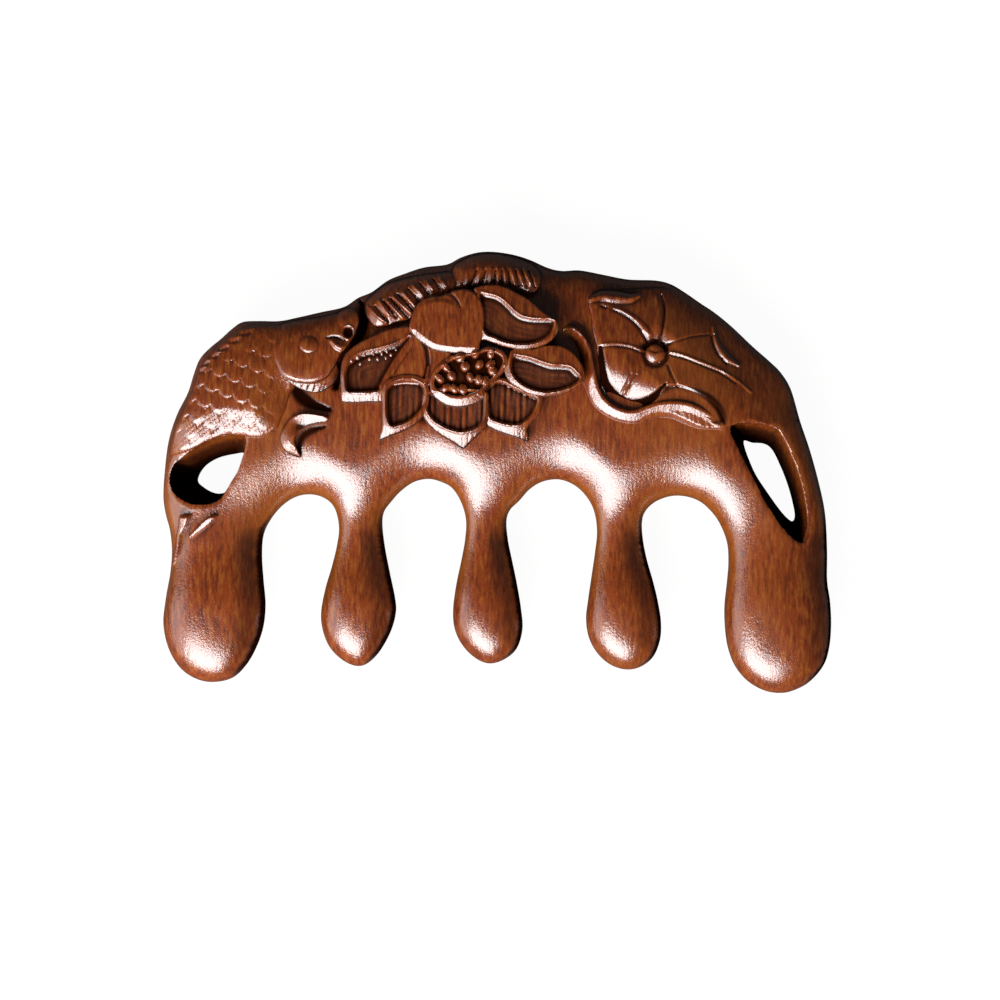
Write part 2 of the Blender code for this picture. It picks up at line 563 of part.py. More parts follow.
def carve(comb, cutters, seat, left_hole, right_slot):
    """The carved forms, the foremost first: each later one is cut back from those in front of it."""
    front_forms = []

    def seat_form(form, outline):
        boolean(form, seat, "DIFFERENCE")
        low = [min(point[k] for point in outline) - SEAT_GAP * 2 for k in (0, 1)]
        high = [max(point[k] for point in outline) + SEAT_GAP * 2 for k in (0, 1)]
        for other, other_low, other_high in front_forms:
            if all(low[k] < other_high[k] and other_low[k] < high[k] for k in (0, 1)):
                boolean(form, other, "DIFFERENCE")
        front_forms.append((curtain(f"{form.name}_curtain", outline, cutters), low, high))
        return form

    def add_blade(name, spine_grid, stations, columns, rise_at):
        rows = blade_rows(spine_grid, stations, columns, rise_at)
        return seat_form(raised_form(name, rows, comb), outline_of_blade(rows))

    def add_disc(name, edge, centre, ring_shares, rise_at):
        rows = disc_rows(edge, centre, ring_shares, rise_at)
        return seat_form(raised_form(name, rows, comb), edge)

    def bud_rise(share, _):
        return BUD_RISE - (BUD_RISE - BUD_EDGE_RISE) * share**3

    add_disc("lotus_bud", oval_edge(BUD_GRID, OVAL_POINTS), at(*BUD_GRID["centre"]), BUD_RING_SHARES, bud_rise)

    def pod_rise(share, _):
        return POD_RISE - (POD_RIM if share < POD_RIM_SHARE else 0)

    add_disc("seed_pod", oval_edge(POD_GRID, OVAL_POINTS), at(*POD_GRID["centre"]), POD_RING_SHARES, pod_rise)

    def stem_rise(_, across):
        return STEM_RISE - STEM_WIDTH * STEM_DROP_SHARE * across**2

    stem = [(x, y, STEM_WIDTH / 2 / UNIT_ACROSS) for x, y in STEM_GRID]
    add_blade("leaf_stem", stem, 30, 5, stem_rise)

    for name, petal in PETALS_GRID.items():

        def petal_rise(along, across, drop=petal["drop"]):
            rim = max(abs(across) ** PETAL_SIDE_POWER, along**PETAL_TIP_POWER)
            lip = PETAL_RISE - PETAL_TIP_DROP * drop * along
            cupped = math.sin(math.pi * min(1, along + PETAL_HOLLOW_START_SHARE)) ** 2
            return lip - PETAL_HOLLOW * (1 - rim) * cupped

        add_blade(name, petal["spine"], 9, 9, petal_rise)

    for name, spine in ROLLS_GRID.items():
        rows = blade_rows(spine, ROLL_STATIONS, 2, lambda along, across: 0)
        seat_form(tube(name, roll_rings(spine), comb), outline_of_blade(rows))

    def head_rise(along, across):
        return FISH_HEAD_RISE - (FISH_HEAD_RISE - FISH_HEAD_EDGE_RISE) * max(across**2, along**3)

    head = add_blade("fish_head", FISH_HEAD_GRID, 9, 9, head_rise)
    boolean(head, eye_disc("fish_eye", cutters), "UNION")

    def fin_rise(_, across):
        return FISH_FIN_RISE - STEM_WIDTH * FIN_DROP_SHARE * across**2

    add_blade("fish_fin", FISH_FIN_GRID, 10, 5, fin_rise)

    def body_rise(along, across):
        return FISH_BODY_RISE - (FISH_BODY_RISE - FISH_BODY_EDGE_RISE) * max(across**2, along**4)

    body = add_blade("fish_body", FISH_BODY_GRID, 10, 9, body_rise)
    boolean(body, left_hole, "DIFFERENCE")

    def tail_rise(_, across):
        return FISH_TAIL_RISE - STEM_WIDTH * FIN_DROP_SHARE * across**2

    tail = add_blade("fish_tail", FISH_TAIL_GRID, 10, 5, tail_rise)
    boolean(tail, left_hole, "DIFFERENCE")

    edge = smooth([at(*point) for point in LEAF_EDGE_GRID], LEAF_EDGE_POINTS, closed=True)
    boss = at(*LEAF_BOSS_GRID)

    def leaf_rise(share, turn):
        x, y = edge[round(turn * len(edge)) % len(edge)]
        heading = math.degrees(math.atan2(y - boss[1], x - boss[0]))
        turns = [(heading - angle + 180) % 360 - 180 for angle in LEAF_VEIN_DEGREES]
        vein = max(math.exp(-((turn_away / LEAF_VEIN_SPREAD_DEGREES) ** 2)) for turn_away in turns)
        boss_rise = LEAF_BOSS if share < LEAF_BOSS_SHARE else 0
        vein_rise = LEAF_VEIN * vein if LEAF_BOSS_SHARE < share < LEAF_VEIN_END_SHARE else 0
        return LEAF_RISE - LEAF_HOLLOW * math.sin(math.pi * share) ** 2 + boss_rise + vein_rise

    leaf = add_disc("lotus_leaf", edge, boss, LEAF_RING_SHARES, leaf_rise)
    boolean(leaf, right_slot, "DIFFERENCE")


build()
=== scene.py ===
"""Wide-tooth massage comb in carved, lacquered wood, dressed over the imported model.

The comb lies on its flat rear face: X runs along the back from the fish to the leaf, -Y is the way the
teeth point and +Z comes out of the carved face. Outlines, strokes and heights of the carving are written
in the units of a drawing grid, GRID_WIDTH of them across the comb, with y downwards; the sizes in the panel
and the vertices of the meshes are in metres.
"""

import math

import bmesh
import bpy
import numpy as np
from bpy.props import FloatProperty, FloatVectorProperty, PointerProperty
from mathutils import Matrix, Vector
from mathutils.bvhtree import BVHTree
from mathutils.geometry import delaunay_2d_cdt
from mathutils.kdtree import KDTree


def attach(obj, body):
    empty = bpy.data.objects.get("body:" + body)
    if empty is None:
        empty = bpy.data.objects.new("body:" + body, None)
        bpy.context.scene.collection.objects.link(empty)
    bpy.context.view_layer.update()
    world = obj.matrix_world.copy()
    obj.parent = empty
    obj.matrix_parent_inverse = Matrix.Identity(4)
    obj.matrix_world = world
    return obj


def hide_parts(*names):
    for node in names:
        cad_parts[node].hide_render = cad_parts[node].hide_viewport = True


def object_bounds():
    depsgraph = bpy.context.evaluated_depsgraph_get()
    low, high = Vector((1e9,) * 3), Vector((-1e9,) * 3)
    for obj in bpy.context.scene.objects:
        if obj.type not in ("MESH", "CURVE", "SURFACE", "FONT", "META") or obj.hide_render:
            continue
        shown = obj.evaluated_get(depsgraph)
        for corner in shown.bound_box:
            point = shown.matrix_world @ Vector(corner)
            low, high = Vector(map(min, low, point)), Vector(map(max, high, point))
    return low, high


bl_info = {
    "name": "Carved massage comb",
    "version": (1, 0, 0),
    "blender": (4, 5, 0),
    "location": "3D View > Sidebar > Comb",
    "description": "Builds a wide-tooth massage comb with a lotus, a carp and a lotus leaf in relief",
    "category": "Add Mesh",
}

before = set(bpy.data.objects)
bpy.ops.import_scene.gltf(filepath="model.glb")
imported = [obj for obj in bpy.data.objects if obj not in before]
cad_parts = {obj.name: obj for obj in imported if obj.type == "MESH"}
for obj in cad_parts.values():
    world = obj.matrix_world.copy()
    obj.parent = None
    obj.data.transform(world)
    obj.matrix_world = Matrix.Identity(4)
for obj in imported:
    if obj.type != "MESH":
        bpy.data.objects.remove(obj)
CAD_LOW, CAD_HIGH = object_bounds()

GRID_WIDTH = 669
GRID_CENTRE = (497, 471.5)

# Half of the comb's outline, over the back from the left end to the right tooth
BACK_OUTLINE = [
    (163.5, 497), (165, 470), (169, 440), (177, 415), (188, 393), (194, 374), (200, 359), (210, 348),
    (221, 339), (232, 329), (243, 322), (260, 321), (280, 321), (300, 317), (322, 312), (344, 307),
    (358, 298), (372, 292), (388, 280.5), (404, 274), (424, 267.5), (447, 264.5), (461, 257.5),
    (478, 252.5), (495, 252), (514, 255), (530, 260), (548, 268), (562, 271), (580, 270.5), (604, 275),
    (628, 279.5), (655, 280.5), (670, 284), (684, 292), (700, 303), (715, 313), (732, 327), (752, 346),
    (769, 361), (781, 373), (791, 390), (800, 421), (810, 451), (819, 484), (825, 514), (827, 550),
    (827, 580),
]
# The other half, round the teeth and gaps from right to left
TEETH_OUTLINE = [
    (830, 602), (831, 625), (829, 648), (823, 666), (809, 682), (793, 690.5), (779, 693), (763, 690),
    (747, 680.5), (735, 666), (728, 648), (725, 628), (724.5, 606), (727, 582), (728.5, 562), (727, 542),
    (719, 522), (708, 508), (697, 500), (683, 496), (669, 496.5), (655, 502), (645.5, 511), (642, 522),
    (643, 540), (647, 560), (653, 581), (658, 602), (661, 622), (660, 640), (653, 657), (640, 667),
    (626, 669.5), (611, 665), (598, 654), (589, 638), (586, 619), (588, 600), (591.5, 576), (595, 552),
    (597, 531), (594, 511), (586, 496), (574, 485), (559, 479.5), (543, 481.5), (530, 489), (519, 501),
    (510, 510), (506.5, 521), (508, 540), (512.5, 562), (517, 584), (521, 608), (522.5, 629), (517, 648),
    (505, 659), (490, 663.5), (476, 658.5), (463, 646), (455, 630), (453, 611), (456, 586), (461, 562),
    (465, 540), (466, 520), (461, 502), (452, 488), (440, 481.5), (428, 479), (414, 482), (401, 491),
    (391, 502), (384, 512), (382.5, 525), (385, 547), (390, 573), (395, 597), (396, 612), (391, 631),
    (380, 651), (368, 663), (357, 666), (344, 661), (331, 649), (323.5, 633), (321, 614), (325, 590),
    (332, 566), (337, 545), (339, 527), (335, 509), (326, 499), (312, 494.5), (297, 496.5), (283, 505),
    (271, 519), (263.5, 535), (262, 556), (263.5, 580), (265.5, 604), (263.5, 626), (257, 646), (247, 664),
    (233, 677.5), (214, 682), (197, 679), (181, 668.5), (169, 649), (163.5, 624), (166, 598), (170.5, 572),
    (172, 550), (170, 530), (166, 515),
]

# Pierced holes, as outlines where they open at the front and where they leave at the rear
LEFT_OPENING = [
    (241.5, 453), (229.5, 453.5), (215, 457), (203.5, 463.5), (196.5, 472), (194, 481), (199.5, 487),
    (208, 492), (216.5, 493.5), (224, 491), (231, 480), (238.5, 467),
]
LEFT_RIM = [
    (249, 439), (232, 436), (213, 441.5), (194, 451), (178, 462), (171.5, 478), (176, 493), (191, 502.5),
    (208, 504), (223, 498.5), (233, 484), (242, 468),
]
RIGHT_OPENING = [
    (746, 441.5), (757, 442), (768, 443), (776, 449), (784, 465), (791, 483), (796, 501), (798.5, 516),
    (795, 521.5), (785, 513), (769, 491), (756, 470),
]
RIGHT_RIM = [
    (728, 430), (745, 423.5), (768, 427), (779, 434), (790, 456), (797.5, 475), (803, 497), (806.5, 524),
    (800, 542), (783, 530), (764, 503), (748, 472),
]
HOLES = (("left_hole", LEFT_OPENING, LEFT_RIM), ("right_slot", RIGHT_OPENING, RIGHT_RIM))
HOLE_STEPS = 8
CURVE_STEPS = 24
OUTLINE_SPACING = 2.2
FINE_SPACING = 2
FINEST_SPACING = 1
RIDGE_SPACING = 1.5
CREASE = math.radians(50)

# Outlines of the carved forms and the lines cut into them, on the drawing grid
FISH_BODY = [
    (171, 455), (174, 438), (181, 420), (189, 403), (196, 387), (201, 371), (209, 359), (219, 350),
    (229, 341), (241, 332), (254, 327.5), (268, 326.5), (286, 328), (294, 340), (294, 362), (298, 375),
    (299, 385), (293, 396), (289, 409), (280, 429), (263, 438.5), (246, 437), (229, 436), (214, 441),
    (199, 448), (184, 454),
]
FISH_HEAD = [
    (276, 329), (290, 323), (305, 320), (322, 318), (337, 314), (348, 309.5), (356, 311), (361, 319),
    (360, 330), (355, 341), (348, 351), (341, 362), (336, 371), (329, 380), (318, 385), (306, 385.5),
    (296, 383.5), (287, 379), (281, 370), (276, 358), (274, 343),
]
FRILL = [
    (284, 371), (300, 376), (315, 376), (328, 372), (337, 364), (341, 373), (337, 383.5), (330, 390),
    (321, 394), (311, 393.5), (302, 390), (293, 384.5), (286, 378),
]
FISH_FIN = [
    (330, 418.5), (318, 415.5), (304, 415), (293, 420), (286, 429), (283, 440), (286, 449.5), (293, 455.5),
    (303, 458), (300, 451), (297.5, 443), (300, 434), (309, 427.5), (320, 424.5), (329, 423),
]
FIN_EDGE = [
    (331, 417.5), (318, 415), (304, 414.5), (293, 419.5), (285.5, 429), (282.5, 440), (285.5, 450),
    (293, 456), (304, 459),
]
FISH_TAIL = [
    (180, 515), (191, 512), (204, 515), (218, 512), (221, 519), (209, 529), (200, 536), (193, 543),
    (187, 552), (181, 562), (174, 569), (171.5, 561), (175, 545), (178, 530),
]
BUD = [
    (411, 333), (412.5, 322), (416, 311), (423, 303.5), (432, 300), (442, 299), (449, 296.5), (457, 293.5),
    (468, 293), (477, 298), (483, 308), (485, 320), (484, 334), (481, 346), (477.5, 356), (462, 357),
    (446, 355.5), (434, 353), (425, 347.5), (417, 341),
]
BUD_LOBE = [
    (408, 333), (412, 318), (419, 308), (430, 302.5), (444, 301.5), (456, 305.5), (464, 314), (468, 327),
    (469, 345), (468, 362), (440, 362), (415, 352),
]
POD = [
    (431, 386), (433, 376.5), (440, 367), (451, 359), (464, 355.5), (477, 353), (489, 349.5), (499, 352),
    (506.5, 358), (507.5, 368), (502, 377), (493, 386), (486, 394), (483.5, 401), (474, 406.5), (462, 409),
    (450, 408), (440, 403), (433, 396),
]
POD_FACE = [
    (434.5, 386), (436.5, 378), (443, 369.5), (453, 362), (465, 358.5), (478, 356), (489, 353),
    (497, 355.5), (503, 360), (503.5, 367.5), (498.5, 375), (490, 383), (483, 390.5), (476, 395.5),
    (465, 398.5), (453, 398.5), (443, 395), (437, 391),
]
SEEDS = [
    (447, 370), (452.5, 378), (466, 369), (480, 367), (491, 367), (493, 373.5), (471, 379.5), (479, 382),
    (485, 383), (447, 390), (455.5, 391), (463.5, 391.5), (491, 356.5), (476, 356.5), (461, 360.5),
    (441, 381),
]
PETALS = {
    "petal_upper_right": [
        (474, 294), (480, 290), (488, 288.5), (497, 288.5), (506, 291), (515, 295.5), (525, 301),
        (533, 307), (541, 314.5), (550, 321), (556, 325), (557.5, 332), (554, 340), (546, 347), (535, 351),
        (522, 352.5), (509, 351), (497, 347.5), (486, 343.5), (476, 342), (474, 325), (476, 308),
    ],
    "petal_right": [
        (504, 372), (508, 361), (512, 353), (522, 350.5), (532, 352), (540, 349.5), (550, 348),
        (561, 349.5), (570, 354.5), (577, 362), (582, 371), (583.5, 381), (577, 388), (566, 394),
        (553, 397.5), (540, 398.5), (528, 396), (518, 390.5), (508, 383),
    ],
    "petal_lower_right": [
        (482, 392), (499, 380), (516, 386), (532, 395), (541.5, 398.5), (541, 409), (536.5, 418),
        (530, 425), (526.5, 431), (528, 442.5), (516, 438.5), (504, 435), (494, 431), (486.5, 425),
        (484, 408),
    ],
    "petal_bottom": [
        (426, 394), (423.5, 404), (423, 414), (427, 422.5), (434, 430.5), (443, 437.5), (453, 443),
        (463.5, 449.5), (471, 443), (479, 435.5), (486, 427.5), (488.5, 419), (488.5, 406), (487, 394),
        (465, 390), (440, 390),
    ],
    "petal_lower_left": [
        (384, 398), (385, 389), (389, 383), (397, 379), (406, 377), (418, 378), (428, 383), (431, 395),
        (429.5, 408), (425, 417.5), (415, 427), (404, 433), (394, 436.5), (381, 441), (384, 430),
        (384.5, 414),
    ],
    "petal_inner_left": [
        (418, 336), (430, 346), (449, 351), (452, 360), (443, 369), (436, 378), (432, 388), (424, 388),
        (408, 387), (391, 388), (395, 378), (404, 364), (413, 350),
    ],
    "petal_upper_left": [
        (344, 392), (343.5, 378), (344.5, 365), (350, 355), (359, 347), (370, 341), (384, 334.5),
        (399, 330.5), (412, 330), (420, 336), (419, 350), (409, 364), (397, 380), (389, 390), (384.5, 398),
        (384, 403.5), (370, 404), (357, 404.5), (346, 404), (344, 400),
    ],
}
# The hollow of each cupped petal
PETAL_HOLLOWS = {
    "petal_upper_right": [
        (480, 296.5), (488, 297.5), (496, 299.5), (503, 303.5), (509, 309), (515, 315), (522, 319.5),
        (531, 321.5), (541, 322), (550, 322.5), (554, 325), (553.5, 332), (549, 339.5), (540, 345),
        (529, 348), (514, 348), (503, 345.5), (494, 341.5), (486, 338), (480, 326), (479, 308),
    ],
    "petal_right": [
        (513, 357.5), (522, 358.5), (531, 360.5), (540, 364), (550, 367), (560, 367.5), (569, 369),
        (575, 374), (579.5, 380), (576, 386), (568, 390.5), (556, 394), (544, 395), (533, 393), (522, 388),
        (514, 381), (510, 373), (510, 364),
    ],
    "petal_lower_right": [
        (486, 392), (499, 383), (516, 390), (530, 396.5), (537.5, 400), (537, 408), (533, 416), (526, 423),
        (518, 427), (508, 426.5), (498, 424), (489, 419), (487.5, 406),
    ],
    "petal_bottom": [
        (429, 396), (445, 392), (465, 392), (484, 394), (485.5, 405), (485, 418), (482, 426.5),
        (474, 431.5), (462, 434), (451, 431.5), (441, 427), (433, 421), (428, 413), (427.5, 404),
    ],
    "petal_lower_left": [
        (389, 390), (394, 385), (402, 382), (411, 381), (419, 383), (426, 388), (427.5, 398), (426, 408),
        (419, 417), (410, 424), (400, 427.5), (393, 428), (389, 422), (387.5, 410), (387.5, 398),
    ],
    "petal_upper_left": [
        (349, 393), (347.5, 384), (347.5, 374), (350.5, 365), (357, 358.5), (367, 354), (380, 351),
        (394, 347), (404, 342.5), (410, 338.5), (413, 341), (405, 352), (397, 364), (390, 376), (384, 387),
        (381, 393.5), (366, 395), (355, 395),
    ],
}
ROLL_LEFT = [
    (366, 306), (372, 296), (383, 287), (397, 281.5), (415, 277.5), (433, 275), (449, 274), (457, 279),
    (458, 289), (450, 297), (435, 301), (424, 306), (419, 316), (409, 323), (399, 325.5), (388, 329),
    (377, 329), (369, 320),
]
ROLL_RIGHT = [
    (452, 277), (454, 267), (464, 260), (476, 255.5), (492, 254), (508, 256), (523, 260.5), (535, 267),
    (541, 278), (538, 291), (529, 297), (513, 294), (497, 289.5), (480, 288), (466, 291), (456, 290),
]
LEAF = [
    (590, 318), (587, 306), (590, 296), (602, 291), (622, 290.5), (645, 289), (665, 288.5), (685, 295),
    (703, 306), (718, 320), (728, 336), (741, 352), (753, 364), (763, 376), (771, 390), (777, 405),
    (777, 419), (767, 426), (755, 423), (743, 421.5), (730, 426), (716, 428), (700, 418), (684, 408),
    (664, 406), (643, 412), (622, 412), (606, 407), (599, 390), (598, 370), (595, 350), (591, 333),
]
FLOWER_SEAT = [
    (352, 352), (375, 342), (405, 335), (420, 312), (440, 305), (480, 298), (505, 300), (540, 325),
    (560, 350), (575, 375), (560, 392), (535, 405), (520, 425), (500, 425), (465, 435), (435, 425),
    (400, 425), (390, 405), (355, 398), (348, 375),
]
GILL_VALLEY = [
    (362, 303, 4), (365, 314, 9), (364, 328, 10), (358, 344, 9), (349, 358, 8), (342, 372, 7),
    (338, 388, 5),
]
GILL_HOLLOW = [(295, 384, 4), (299, 392, 9), (306, 400, 11), (316, 406, 8), (332, 411, 3)]
FIN_HOLLOW = [(303, 455, 2), (302, 446, 6.5), (306, 437, 8), (315, 431, 6.5), (328, 428, 2)]
# Painted shadows to the right of the two rays of the tail, each with its strength
TAIL_SHADOWS = (
    ([(196, 519, 2), (190, 530, 3), (186, 543, 3), (182, 556, 2)], 0.9),
    ([(219, 521, 1.5), (207, 532, 2.5), (195, 541, 2)], 0.7),
)
# The two raised rays of the tail: outline, slope and the y where each runs out
TAIL_STROKES = (
    ([
        (182, 514), (194, 514), (190, 525), (184.5, 535), (181.5, 550), (178.5, 560), (174, 568),
        (171.5, 563), (175, 548), (177, 535), (180, 523),
    ], 0.18, 570),
    ([
        (217, 513), (221.5, 516), (211, 527), (201, 534), (192, 540), (189, 536.5), (197, 528), (207, 519),
    ], 0.32, 541),
)
HIGH_HOLLOW = [
    (545, 276), (562, 282), (580, 284), (588, 296), (590, 320), (574, 330), (558, 328), (545, 312),
    (538, 300),
]
STEM = [
    (561, 333, 3), (567, 330.5, 6), (575, 333, 9), (583, 341, 10), (588, 353, 10.5), (590.5, 366, 10.5),
    (592.5, 379, 11), (596, 391, 11), (603, 402, 11), (613, 409.5, 10.5), (624, 413.5, 10.5),
    (634, 413.5, 11), (645, 409.5, 11.5), (656, 406, 13), (668, 404.8, 15), (681, 405.5, 18),
    (693, 409, 19), (705, 415, 17), (714, 421, 12), (722, 428, 4),
]
LEAF_LOBE = [
    (640, 410), (648, 403.5), (655, 397.5), (660, 391), (664, 386.5), (677, 386), (692, 391), (703, 397),
    (713, 405), (719, 413), (721, 424), (700, 425), (664, 417),
]
KEEL = [
    (168, 457), (184, 455), (199, 449), (214, 442), (229, 437), (246, 438), (263, 439.5), (281, 430),
    (290, 409), (294, 396),
]
FISH_NECK = [(301, 384), (294, 396), (290, 409), (281, 431)]
BACK_NICKS = ((249, 331), (237, 339), (227, 346), (217, 354), (208, 361), (202, 369))
EYE = (312, 347)
SNOUT = (352, 320)
NOSTRIL = (350.5, 335)
NOSTRIL_RIM = [
    (345, 335), (346.5, 330), (351, 328.5), (355.5, 332), (356, 338), (352, 341.5), (346.5, 340),
    (345, 335),
]
LEAF_RIM = [(676, 288), (697, 300), (716, 318), (740, 352), (762, 374), (775, 396), (780, 416)]
LEAF_GROOVE = [
    (599, 350, 3), (600, 362, 5.5), (601.5, 375, 7), (604.5, 386, 7.5), (611, 395, 8), (619, 401.5, 8),
    (628, 405, 7.5), (638, 404.5, 7), (647, 401, 6), (654, 396, 5), (659, 390, 4), (663, 386, 2.5),
]
# A painted shadow under the leaf's edge, where it overhangs its lobe
LEAF_SICKLE_SHADOW = [(685, 388.5, 2), (696, 393, 4), (706, 399, 6), (714, 407, 7), (719, 416, 6.5), (720.5, 424, 4)]
HUB = (653, 356)
HUB_RING = [
    (643, 349), (648, 345), (655, 344), (662, 348), (665, 355), (663, 363), (655, 368), (646, 366),
    (642, 358), (643, 349),
]
STEM_TIP = (563, 334)
# Ridges and grooves of the carving: points with their half widths, then a height, negative for a groove
MOUTH = (
    ([(335, 344, 3), (341, 349, 5), (349, 350, 5.5), (356, 344, 3)], 3.0),
    ([(330, 340, 2), (339, 340, 3.5), (347, 343, 2)], -1.8),
)
BUD_FOLD = (([(447, 295, 3.5), (454, 300, 3), (459, 306, 2), (461, 311, 1)], -1.1),)
INNER_PETAL_FOLDS = (
    ([(424, 343, 3), (428, 354, 3), (429, 368, 3), (426, 380, 2)], -3.0),
    ([(430, 369, 2), (428.5, 377, 3), (426, 386, 2)], 3.0),
)
ROLL_LEFT_END = (
    ([(370, 309, 2), (377, 317, 3), (388, 326, 2)], 2.0),
    ([(377, 309, 2), (384, 318, 3), (390, 325, 2)], -2.4),
)
LEAF_FOLDS = (
    ([(600, 309, 2), (618, 315, 2.2), (633, 326, 2.6), (645, 343, 3)], -1.6),
    ([(606, 311, 2.5), (621, 314, 3), (637, 324, 4), (648, 337, 4)], 1.3),
    ([(601, 346.5, 1.8), (615, 346, 1.9), (628, 348, 1.8), (643, 353, 1.5)], 1.1),
    ([(602, 349.5, 1.6), (616, 349, 1.8), (629, 351, 1.8), (641, 356, 1.5)], -0.9),
    ([(660, 297, 2), (663, 312, 2.4), (661, 328, 2.5), (658, 342, 2.5)], -2.6),
    ([(655, 298, 3), (657, 312, 4), (655, 327, 4)], 1.0),
    ([
        (668, 354, 1.8), (681, 357, 1.9), (694, 362, 1.8), (707, 367, 1.7), (719, 372, 1.6),
        (735, 382, 1.7), (748, 393, 2.2),
    ], 1.3),
    ([
        (668, 357, 1.6), (680, 360, 1.7), (693, 365, 1.7), (706, 370, 1.6), (718, 375, 1.5), (733, 385, 1.5),
    ], -1.0),
    ([(666, 346, 3), (678, 342, 1.8), (693, 338, 1.6), (712, 336, 1.5)], -1.0),
    ([(665, 367, 2), (669, 377, 2.2), (675, 388, 2.4)], -1.2),
    ([(632, 374, 1.5), (627, 384, 1.7), (622, 395, 2)], 1.0),
    ([(629, 376, 1.4), (625, 384, 1.5), (620, 394, 1.7)], -1.0),
    ([(634, 377, 1.4), (629.5, 386, 1.5), (625, 396, 1.7)], -1.0),
    ([(588, 303, 3), (600, 299, 6), (614, 300, 7.5), (628, 301, 6), (637, 298, 3)], 4.5),
    ([(711, 328, 1.5), (713.5, 340, 2.5), (718, 350, 4), (726, 360, 4.5), (737, 367, 2)], 2.6),
    ([(709, 324, 1.5), (710, 341, 2), (714.5, 354, 2.5), (724, 365, 2)], -1.4),
)
# Ends of the ribs on the left rolled leaf, and the middles of those on the right one
LEFT_RIBS = (
    ((381, 304), (391, 318)), ((389, 304), (404, 321)), ((395, 300), (413, 317)), ((404, 295), (418, 311)),
    ((415, 289), (425, 300)), ((427, 284), (434, 293)), ((441, 281), (447, 290)),
)
RIGHT_RIBS = (470, 480, 491, 498, 505, 513, 520, 527)
SPECKS = [
    (355, 364), (361, 361), (367, 358), (372, 361), (376, 356.5), (380, 361), (384, 356), (389, 354),
    (393, 357), (398, 352), (363, 366), (388, 360),
]
# Height of the lip, depth of the hollow, width of its upper inner slope, share of flutes, and how many
# points of the hollow's outline run along its upper rim
PETAL_SHAPES = {
    "petal_upper_right": (23.5, 3.0, 4.6, 0, 11),
    "petal_right": (21.5, 3.0, 5.0, 0, 9),
    "petal_lower_right": (18.5, 3.0, 3.0, 1, 5),
    "petal_bottom": (20.5, 3.0, 3.0, 1, 4),
    "petal_lower_left": (21.5, 3.2, 4.0, 0.6, 6),
    "petal_upper_left": (19.5, 3.4, 6.0, 0, 10),
}
# Middle of the slope that runs down from the back into the teeth
CRESTS = [
    (160, 500), (250, 492), (300, 472), (355, 496), (420, 461), (482, 486), (560, 461), (618, 496),
    (688, 474), (730, 502), (830, 512),
]
# The carp's scales: where one stands, the steps to its neighbours, their radius and where they may stand
SCALE_ORIGIN = (261, 366)
SCALE_ROW = (15, 5.5)
SCALE_COLUMN = (-7.5, 15)
SCALE_RADIUS = 8.4
SCALE_REGION = ((160, 300), (320, 450))

# Where the body changes on the drawing grid, with its swelling as shares of the depths
TEETH_SPAN = (495, 600)
TEETH_SWELL_SHARE = 0.12
END_TEETH_SPAN = (170, 250)
END_TEETH_SHARE = 0.04
REAR_SPAN = (480, 540)
REAR_TEETH_SHARE = 1.3
DIP_DEPTH = 9.5
DIP_SLOPE = (-36, 30)
DIP_FOOT = (545, 612)
CREST_SPACING = 4
DIP_RIGHT_SPAN = (640, 700)
DIP_RIGHT_SHARE = 0.45
SHOULDER_DROP = 8
SHOULDER_WIDTH = (4, 62)
SHOULDER_SPAN = (640, 730)
SHOULDER_FOOT = (400, 450)
SEAT_DEPTH = 6
SEAT_SLOPE = 9
HIGH_HOLLOW_DEPTH = 2
HIGH_HOLLOW_SLOPE = 28
RIM_CUT = 1.8
RIM_CUT_SPAN = (-1, 3.5)
LEAST_THICKNESS = 0.004
# How carved forms are rounded at their edge, how deep they are let in, and the least height of their foot
ARRIS_DROP = 0.9
ARRIS_WIDTH = 1.4
SEAT_REACH = 7.0
LEAST_HEIGHT = 0.0005
# Lines where the back is hollowed: the line, its depth and the painted shade laid in it
HOLLOW_LINES = ((GILL_VALLEY, 9, 0.7), (FIN_HOLLOW, 1.0, 1.1), (GILL_HOLLOW, 1.2, 1.9))

# Levels, swellings and depths of the carved forms over the body, in grid units
KEEL_LEVEL = 1.8
FLANK_SLOPE = 0.37
FLANK_WIDTH = 25
BACK_SWELL = 2.2
BACK_FADE = 6
SCALE_HEIGHT = 0.42
SCALE_HEIGHT_ABOVE = 0.12
STREAK_HEIGHT = 0.14
HEAD_LEVEL = 12.6
HEAD_SWELL = 3.0
HEAD_NECK_DROP = 4.5
EYE_HEIGHT = 2.4
SNOUT_HEIGHT = 2.0
NOSTRIL_DEPTH = 2.2
FRILL_LEVEL = 10.5
FIN_LEVEL = 3.5
FIN_TOP_LEVEL = 7.5
TAIL_SUNK = 1.5
BUD_LEVEL = 24
BUD_SWELL = 1.6
POD_LEVEL = 22
POD_FACE_DEPTH = 3.4
SEED_HEIGHT = 4.4
BOWL_SLOPE_WIDTH = 3
BOWL_PAINTED_SHADE = 0.42
FLUTE_HEIGHT = 0.10
RIM_BEAD = 0.7
SPECK_HEIGHT = 1.3
INNER_PETAL_LEVEL = 19.5
ROLL_LEFT_LEVEL = 11.5
ROLL_LEFT_SWELL = 7.5
ROLL_RIGHT_LEVEL = 10.5
ROLL_RIGHT_SWELL = 8
LEAF_LEVEL = 12
LAP_HEIGHT = 30
LEAF_FALL = 0.14
LOBE_LEVEL = 6.5
HUB_RADIUS = 9.5
HUB_HEIGHT = 4.5
HUB_DIP = 7.0
HUB_LOWER_DIP = 2.5
STEM_LEVEL = 10.5
STEM_LOWER_LEVEL = 6.8
STEM_UPPER_WIDTH = 2.5
QUARTER_TURN = math.pi / 2

